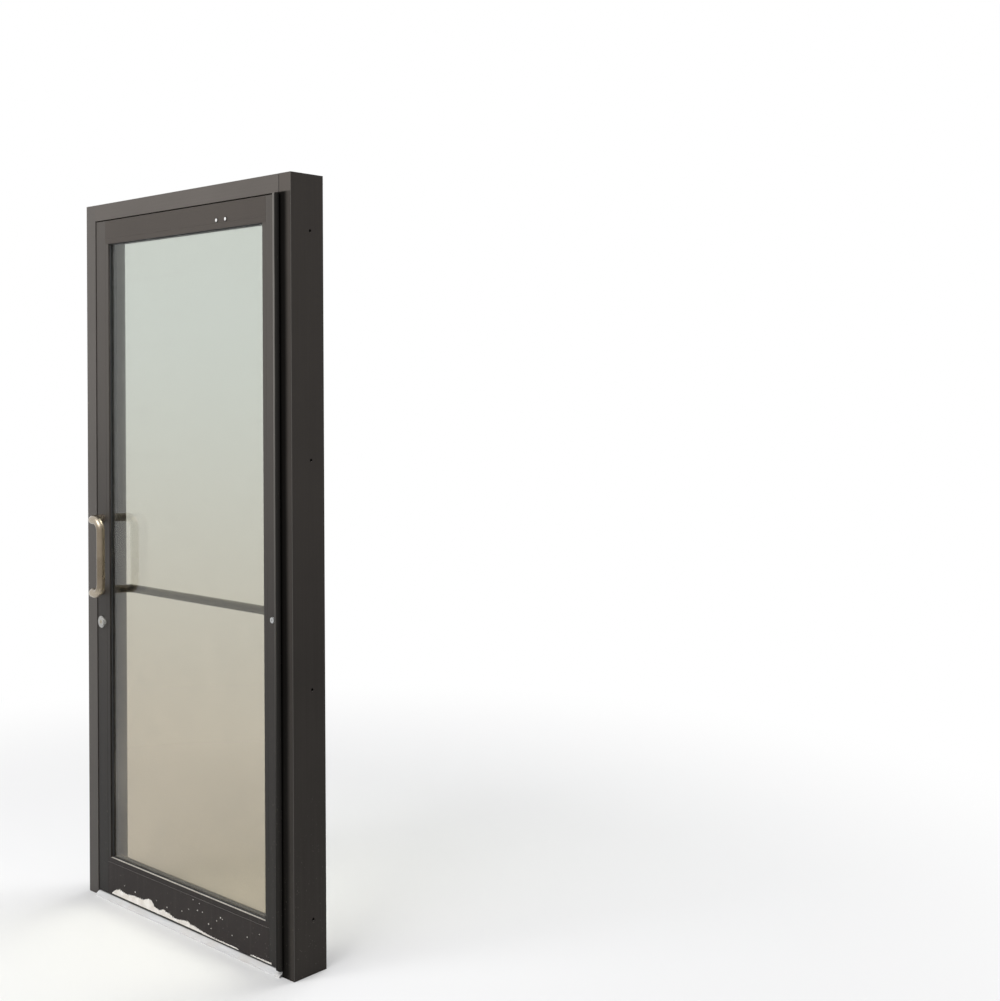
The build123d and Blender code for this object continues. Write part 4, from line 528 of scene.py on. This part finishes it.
def cross_head(shape, radius, dome, neck_radius, neck, length, recess=0.001):
    """Adds a screw that points down, with the rim of its head in the XY plane."""
    arm_reach, arm_width, crown_share = 0.55, 0.3, 0.78
    cross = set(bmesh.ops.create_grid(
        shape, x_segments=3, y_segments=3, size=radius * arm_reach)["verts"])
    for vert in cross:
        vert.co.z = dome
    faces = {face for vert in cross for face in vert.link_faces}
    beside = radius * arm_width
    bmesh.ops.delete(shape, context="FACES", geom=[
        face for face in faces
        if all(abs(part) > beside for part in face.calc_center_median().xy)])
    bed = [face for face in faces if face.is_valid]
    walls = bmesh.ops.extrude_face_region(shape, geom=bed)
    bmesh.ops.translate(shape, verts=corners(walls), vec=(0.0, 0.0, -recess))
    bmesh.ops.delete(shape, context="FACES_ONLY", geom=[face for face in bed if face.is_valid])
    rim = [edge for edge in shape.edges
           if edge.is_boundary and all(vert in cross and vert.co.z == dome for vert in edge.verts)]
    ring = bmesh.ops.create_circle(shape, segments=28, radius=radius * crown_share)["verts"]
    bmesh.ops.translate(shape, verts=ring, vec=(0.0, 0.0, dome))
    edges = list({edge for vert in ring for edge in vert.link_edges})
    bmesh.ops.bridge_loops(shape, edges=rim + edges)
    shank_share = neck_radius / radius
    for share, drop in ((1.0, dome), (shank_share, neck), (shank_share, length)):
        grown = bmesh.ops.extrude_edge_only(shape, edges=edges)
        edges = [item for item in grown["geom"] if isinstance(item, bmesh.types.BMEdge)]
        for vert in corners(grown):
            reach = math.hypot(vert.co.x, vert.co.y)
            vert.co.x *= radius * share / reach
            vert.co.y *= radius * share / reach
        bmesh.ops.translate(shape, verts=corners(grown), vec=(0.0, 0.0, -drop))
    bmesh.ops.edgeloop_fill(shape, edges=edges)
    bmesh.ops.remove_doubles(shape, verts=shape.verts, dist=1e-7)


def screw_set(name, places, turn, body, material, **sizes):
    """One object with a screw at each place, all turned the same way."""
    shape = bmesh.new()
    for place in places:
        single = bmesh.new()
        cross_head(single, **sizes)
        single.transform(Matrix.Translation(place) @ turn)
        mesh = bpy.data.meshes.new(name + "_one")
        single.to_mesh(mesh)
        single.free()
        shape.from_mesh(mesh)
        bpy.data.meshes.remove(mesh)
    piece(name, shape, material, body)


faces_lock = Matrix.Rotation(-math.pi / 2, 4, "Y")
faces_room = Matrix.Rotation(-math.pi / 2, 4, "X")
lock_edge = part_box("lock_faceplate")[0].x
leaf_middle = middle("lock_faceplate").y
faceplate_heights = [middle("lock_faceplate").z + rise for rise in (-0.059, 0.059)]
screw_set(
    "faceplate_screws", [(lock_edge, leaf_middle, z) for z in faceplate_heights], faces_lock,
    "leaf", zinc, radius=0.0036, dome=0.0, neck_radius=0.0019, neck=0.0017, length=0.006,
    recess=0.0008)
carrier_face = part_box("sweep_carrier")[1].y
slot_height = 0.03703
slot_places = (-0.3783, -0.1261, 0.1261, 0.3783)
screw_set(
    "sweep_screws", [(x, carrier_face, slot_height) for x in slot_places], faces_room, "leaf",
    zinc, radius=0.0042, dome=0.0018, neck_radius=0.0021, neck=0.00005, length=0.0042)


# Closer's own fasteners: two brass regulating screws, sunk in the end of the closer's tube, and
# a plated washer and screw that hold the main arm under its pinion.
def half_section(shape, points):
    """Adds the line that a turned piece is spun from."""
    line = [shape.verts.new(point) for point in points]
    return line + [shape.edges.new(pair) for pair in zip(line, line[1:])]


faces_hinge = Matrix.Rotation(math.pi / 2, 4, "Y")
faces_floor = Matrix.Rotation(math.pi, 4, "X")
valve_brass = metal("valve_brass", (0.56, 0.46, 0.28), rough=0.28)
tube_end, tube_middle = 0.3695, 0.07065
valve_heights = (2.1515, 2.1665)
screw_set(
    "closer_valves", [(tube_end, tube_middle, z) for z in valve_heights], faces_hinge, "frame",
    valve_brass, radius=0.0024, dome=0.0, neck_radius=0.0023, neck=0.0003, length=0.0014,
    recess=0.0005)
pinion_x, pinion_y = 0.255, 0.08715
washer_foot, washer_top = 2.1017, 2.1029
washer_section = (
    (0.0, washer_top), (0.0098, washer_top), (0.0103, 2.1025), (0.0103, 2.1021),
    (0.0098, washer_foot), (0.0, washer_foot))
washer_line = [(pinion_x + r, pinion_y, z) for r, z in washer_section]
arm_washer = bmesh.new()
bmesh.ops.spin(
    arm_washer, geom=half_section(arm_washer, washer_line), cent=(pinion_x, pinion_y, 0.0),
    axis=(0.0, 0.0, 1.0), angle=math.tau, steps=40, use_merge=True)
bmesh.ops.remove_doubles(arm_washer, verts=arm_washer.verts, dist=1e-6)
piece("arm_washer", arm_washer, zinc, "closer_arm")
screw_set(
    "arm_screw", [(pinion_x, pinion_y, washer_foot)], faces_floor, "closer_arm", zinc,
    radius=0.0062, dome=0.0022, neck_radius=0.0040, neck=0.00002, length=0.0008, recess=0.0014)

# Elbow ring: a split ring of spring steel, sprung round the foot of the elbow pin, just under
# the forearm that it keeps on.
elbow_x, elbow_y = -0.0026, 0.1610
ring_section = ((0.0051, 2.0948), (0.0078, 2.0948), (0.0078, 2.0957), (0.0051, 2.0957))
ring_turn = math.radians(300.0)
spring_steel = metal("spring_steel", (0.20, 0.20, 0.205), rough=0.30)
elbow_ring = bmesh.new()
ring_corners = [elbow_ring.verts.new((elbow_x + r, elbow_y, z)) for r, z in ring_section]
ring_end = elbow_ring.faces.new(ring_corners)
bmesh.ops.spin(
    elbow_ring, geom=[ring_end, *ring_end.edges, *ring_corners], cent=(elbow_x, elbow_y, 0.0),
    axis=(0.0, 0.0, 1.0), angle=ring_turn, steps=30)
piece("elbow_ring", elbow_ring, spring_steel, "closer_arm")


# Hinge cap ends: two thin moulded plugs in the colour of the cap, pushed into its two ends, and
# shaped like its bore, which goes round both rows of teeth.
def doubled(shape):
    """Extrudes every face and keeps the first ones. Gives the corners of the new ones."""
    return corners(bmesh.ops.extrude_face_region(
        shape, geom=list(shape.faces), use_keep_orig=True))


bore_radius, half_gear_gap = 0.00725, 0.0044
bore_x, bore_y = middle("hinge_cap").x, -0.06275
plug_thickness = 0.001
cap_foot, cap_head = (corner.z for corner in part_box("hinge_cap"))
for name, height in (("cap_plug_low", cap_foot - 0.0011), ("cap_plug_top", cap_head + 0.0001)):
    plug = bmesh.new()
    bmesh.ops.create_circle(plug, cap_ends=True, segments=30, radius=bore_radius)
    bmesh.ops.bisect_plane(
        plug, geom=[*plug.verts, *plug.edges, *plug.faces], plane_co=(0.0, 0.0, 0.0),
        plane_no=(0.0, 1.0, 0.0), clear_outer=True)
    for vert in plug.verts:
        vert.co.x += math.copysign(half_gear_gap, vert.co.x)
    bmesh.ops.translate(plug, verts=plug.verts, vec=(bore_x, bore_y, height))
    bmesh.ops.translate(plug, verts=doubled(plug), vec=(0.0, 0.0, plug_thickness))
    piece(name, plug, cap_bronze, "hinge_cap")

# Tie-rod access plugs: black moulded buttons, snapped into the two holes in the lock edge
# through which the rods are turned.
rod_heights = (2.1017, 0.0462)
button_section = (
    (-0.0028, 0.0), (-0.0028, 0.0086), (-0.00005, 0.0086), (0.00005, 0.0100), (0.0006, 0.0097),
    (0.0009, 0.0085), (0.0010, 0.0))
buttons = bmesh.new()
for height in rod_heights:
    line = [(lock_edge - proud, leaf_middle, height + r) for proud, r in button_section]
    bmesh.ops.spin(
        buttons, geom=half_section(buttons, line), cent=(0.0, leaf_middle, height),
        axis=(1.0, 0.0, 0.0), angle=math.tau, steps=36, use_merge=True)
bmesh.ops.remove_doubles(buttons, verts=buttons.verts, dist=1e-6)
piece("access_plugs", buttons, acetal.material, "leaf")

# Edge sealant of the glass unit: grey-black polysulphide, run round the unit's edge outside the
# spacer, where it bonds the two lites.
sealant_width, sealant_depth, sealant_setback = 0.0032, 0.0132, 0.0003
inner_lite_gap = 0.000075
unit_low, unit_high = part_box("outer_lite")
unit_reach = (unit_high - unit_low) / 2
sealant_back = middle("outer_lite")
sealant_back.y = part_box("glass_spacer")[1].y - inner_lite_gap
sealant = bmesh.new()
bmesh.ops.create_grid(
    sealant, x_segments=1, y_segments=1, size=1.0,
    matrix=Matrix.Translation(sealant_back)
    @ Matrix.Rotation(math.pi / 2, 4, "X")
    @ Matrix.Diagonal((unit_reach.x - sealant_setback, unit_reach.z - sealant_setback, 1.0, 1.0)))
bmesh.ops.inset_region(
    sealant, faces=list(sealant.faces), thickness=sealant_width, use_boundary=True,
    use_even_offset=True)
bmesh.ops.delete(sealant, context="FACES", geom=[
    face for face in sealant.faces if not any(edge.is_boundary for edge in face.edges)])
bmesh.ops.translate(sealant, verts=doubled(sealant), vec=(0.0, -sealant_depth, 0.0))
piece("unit_sealant", sealant, rubber("polysulphide", bloom=0.05), "leaf")

# Cement splash: dried cream-coloured cement, stuck along the foot of the bottom rail, as a
# ragged crust a millimetre thick, a thin line that runs on towards the hinge, and scattered
# specks above it.
splash_line = [
    (-0.3812, 0.0228), (-0.3635, 0.0349), (-0.3390, 0.0424), (-0.3236, 0.0396),
    (-0.2975, 0.0370), (-0.2632, 0.0422), (-0.2400, 0.0423), (-0.2096, 0.0428),
    (-0.1829, 0.0524), (-0.1664, 0.0520), (-0.1597, 0.0460), (-0.1500, 0.0358),
    (-0.1239, 0.0324), (-0.1012, 0.0410), (-0.0920, 0.0360), (-0.0727, 0.0357),
    (-0.0565, 0.0302), (-0.0344, 0.0285), (-0.0032, 0.0341), (0.0215, 0.0366),
    (0.0341, 0.0309), (0.0520, 0.0312), (0.0768, 0.0275), (0.0888, 0.0265),
]
foot_lines = [
    [(0.0888, 0.0260), (0.1484, 0.0216), (0.2068, 0.0224), (0.2503, 0.0228), (0.2620, 0.0200)],
    [(0.3140, 0.0195), (0.3263, 0.0218), (0.3650, 0.0224), (0.4084, 0.0232)],
]
speck_places = [
    (-0.2532, 0.0557, 0.0022), (0.0467, 0.1075, 0.0016), (0.0679, 0.0814, 0.0020),
    (0.0771, 0.1037, 0.0015), (0.1784, 0.0883, 0.0022), (0.1605, 0.0747, 0.0018),
    (0.1875, 0.0861, 0.0015), (0.1217, 0.0557, 0.0020), (0.0921, 0.0822, 0.0016),
    (0.3014, 0.0661, 0.0018), (0.1337, 0.0461, 0.0015), (-0.0092, 0.0598, 0.0018),
    (-0.0853, 0.0515, 0.0020), (-0.3110, 0.0610, 0.0013), (-0.1400, 0.0580, 0.0013),
    (0.2320, 0.0520, 0.0015), (0.3560, 0.0880, 0.0014), (0.0250, 0.0740, 0.0012),
]
rail_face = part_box("bottom_rail")[0].y
crust_foot = rail_face - 0.00003
crust_back = rail_face + 0.00001
speck_middle = rail_face - 0.00005

dried = Finish("dried_cement", Metallic=0.0, Roughness=0.9, Specular_IOR_Level=0.2)
stain = dried.noise(35.0, 3.0).step(0.35, 0.7)
dried.set(Base_Color=stain.between((0.68, 0.64, 0.58), (0.82, 0.79, 0.74)))
dried.bump(dried.noise(260.0, 4.0, 0.6), 0.7, 0.0006)


def crust(shape, line, low, thickness):
    """A ragged strip on the rail's face from a level lower edge up to a broken line."""
    column_width, rows, end_taper = 0.0011, 5, 0.006
    broad_waves, broad_height = 330.0, 0.0046
    fine_waves, fine_height = 900.0, 0.0030
    lump_waves, lump_share = 110.0, 0.45
    lowest_rise, thinnest_end = 0.0003, 0.15
    from_x, to_x = line[0][0], line[-1][0]
    columns = max(8, round((to_x - from_x) / column_width))
    strip = bmesh.ops.create_grid(shape, x_segments=columns, y_segments=rows, size=1.0)["verts"]
    for vert in strip:
        x = from_x + (vert.co.x + 1.0) / 2.0 * (to_x - from_x)
        share = (vert.co.y + 1.0) / 2.0
        left, right = next((a, b) for a, b in zip(line, line[1:]) if x <= b[0] + 1e-9)
        top = left[1] + (right[1] - left[1]) * (x - left[0]) / (right[0] - left[0])
        ragged = noise.noise(Vector((x * broad_waves, 0.0, 3.0))) * broad_height * share
        ragged += noise.noise(Vector((x * fine_waves, 0.0, 8.0))) * fine_height * share
        z = low + max(lowest_rise, top - low + ragged) * share
        lumpy = noise.noise(Vector((x * lump_waves, z * lump_waves, 0.0)))
        lump = 1.0 - lump_share + lump_share * lumpy
        ends = min(1.0, (x - from_x) / end_taper, (to_x - x) / end_taper)
        proud = thickness * lump * (1.0 - share ** 3) * max(thinnest_end, ends)
        vert.co = (x, crust_foot - proud, z)


splash = bmesh.new()
crust(splash, splash_line, low=0.0208, thickness=0.0016)
for foot_line in foot_lines:
    crust(splash, foot_line, low=0.0192, thickness=0.0009)
bmesh.ops.recalc_face_normals(splash, faces=splash.faces)
for vert in doubled(splash):
    vert.co.y = crust_back
piece("cement_splash", splash, dried.material, "leaf", smooth_to=60.0)

speck_thickness, speck_squat = 0.0008, 0.85
swell_waves, swell_share, noise_apart = 1.7, 0.35, 5.3
specks = bmesh.new()
for index, (x, z, size) in enumerate(speck_places):
    blob = bmesh.ops.create_icosphere(specks, subdivisions=3, radius=1.0)["verts"]
    for vert in blob:
        sample = vert.co * swell_waves + Vector((index * noise_apart, 0.0, 0.0))
        swell = 1.0 + swell_share * noise.noise(sample)
        vert.co.x *= size * swell
        vert.co.y *= speck_thickness
        vert.co.z *= size * speck_squat * swell
    bmesh.ops.translate(specks, verts=blob, vec=(x, speck_middle, z))
piece("cement_specks", specks, dried.material, "leaf", smooth_to=60.0)
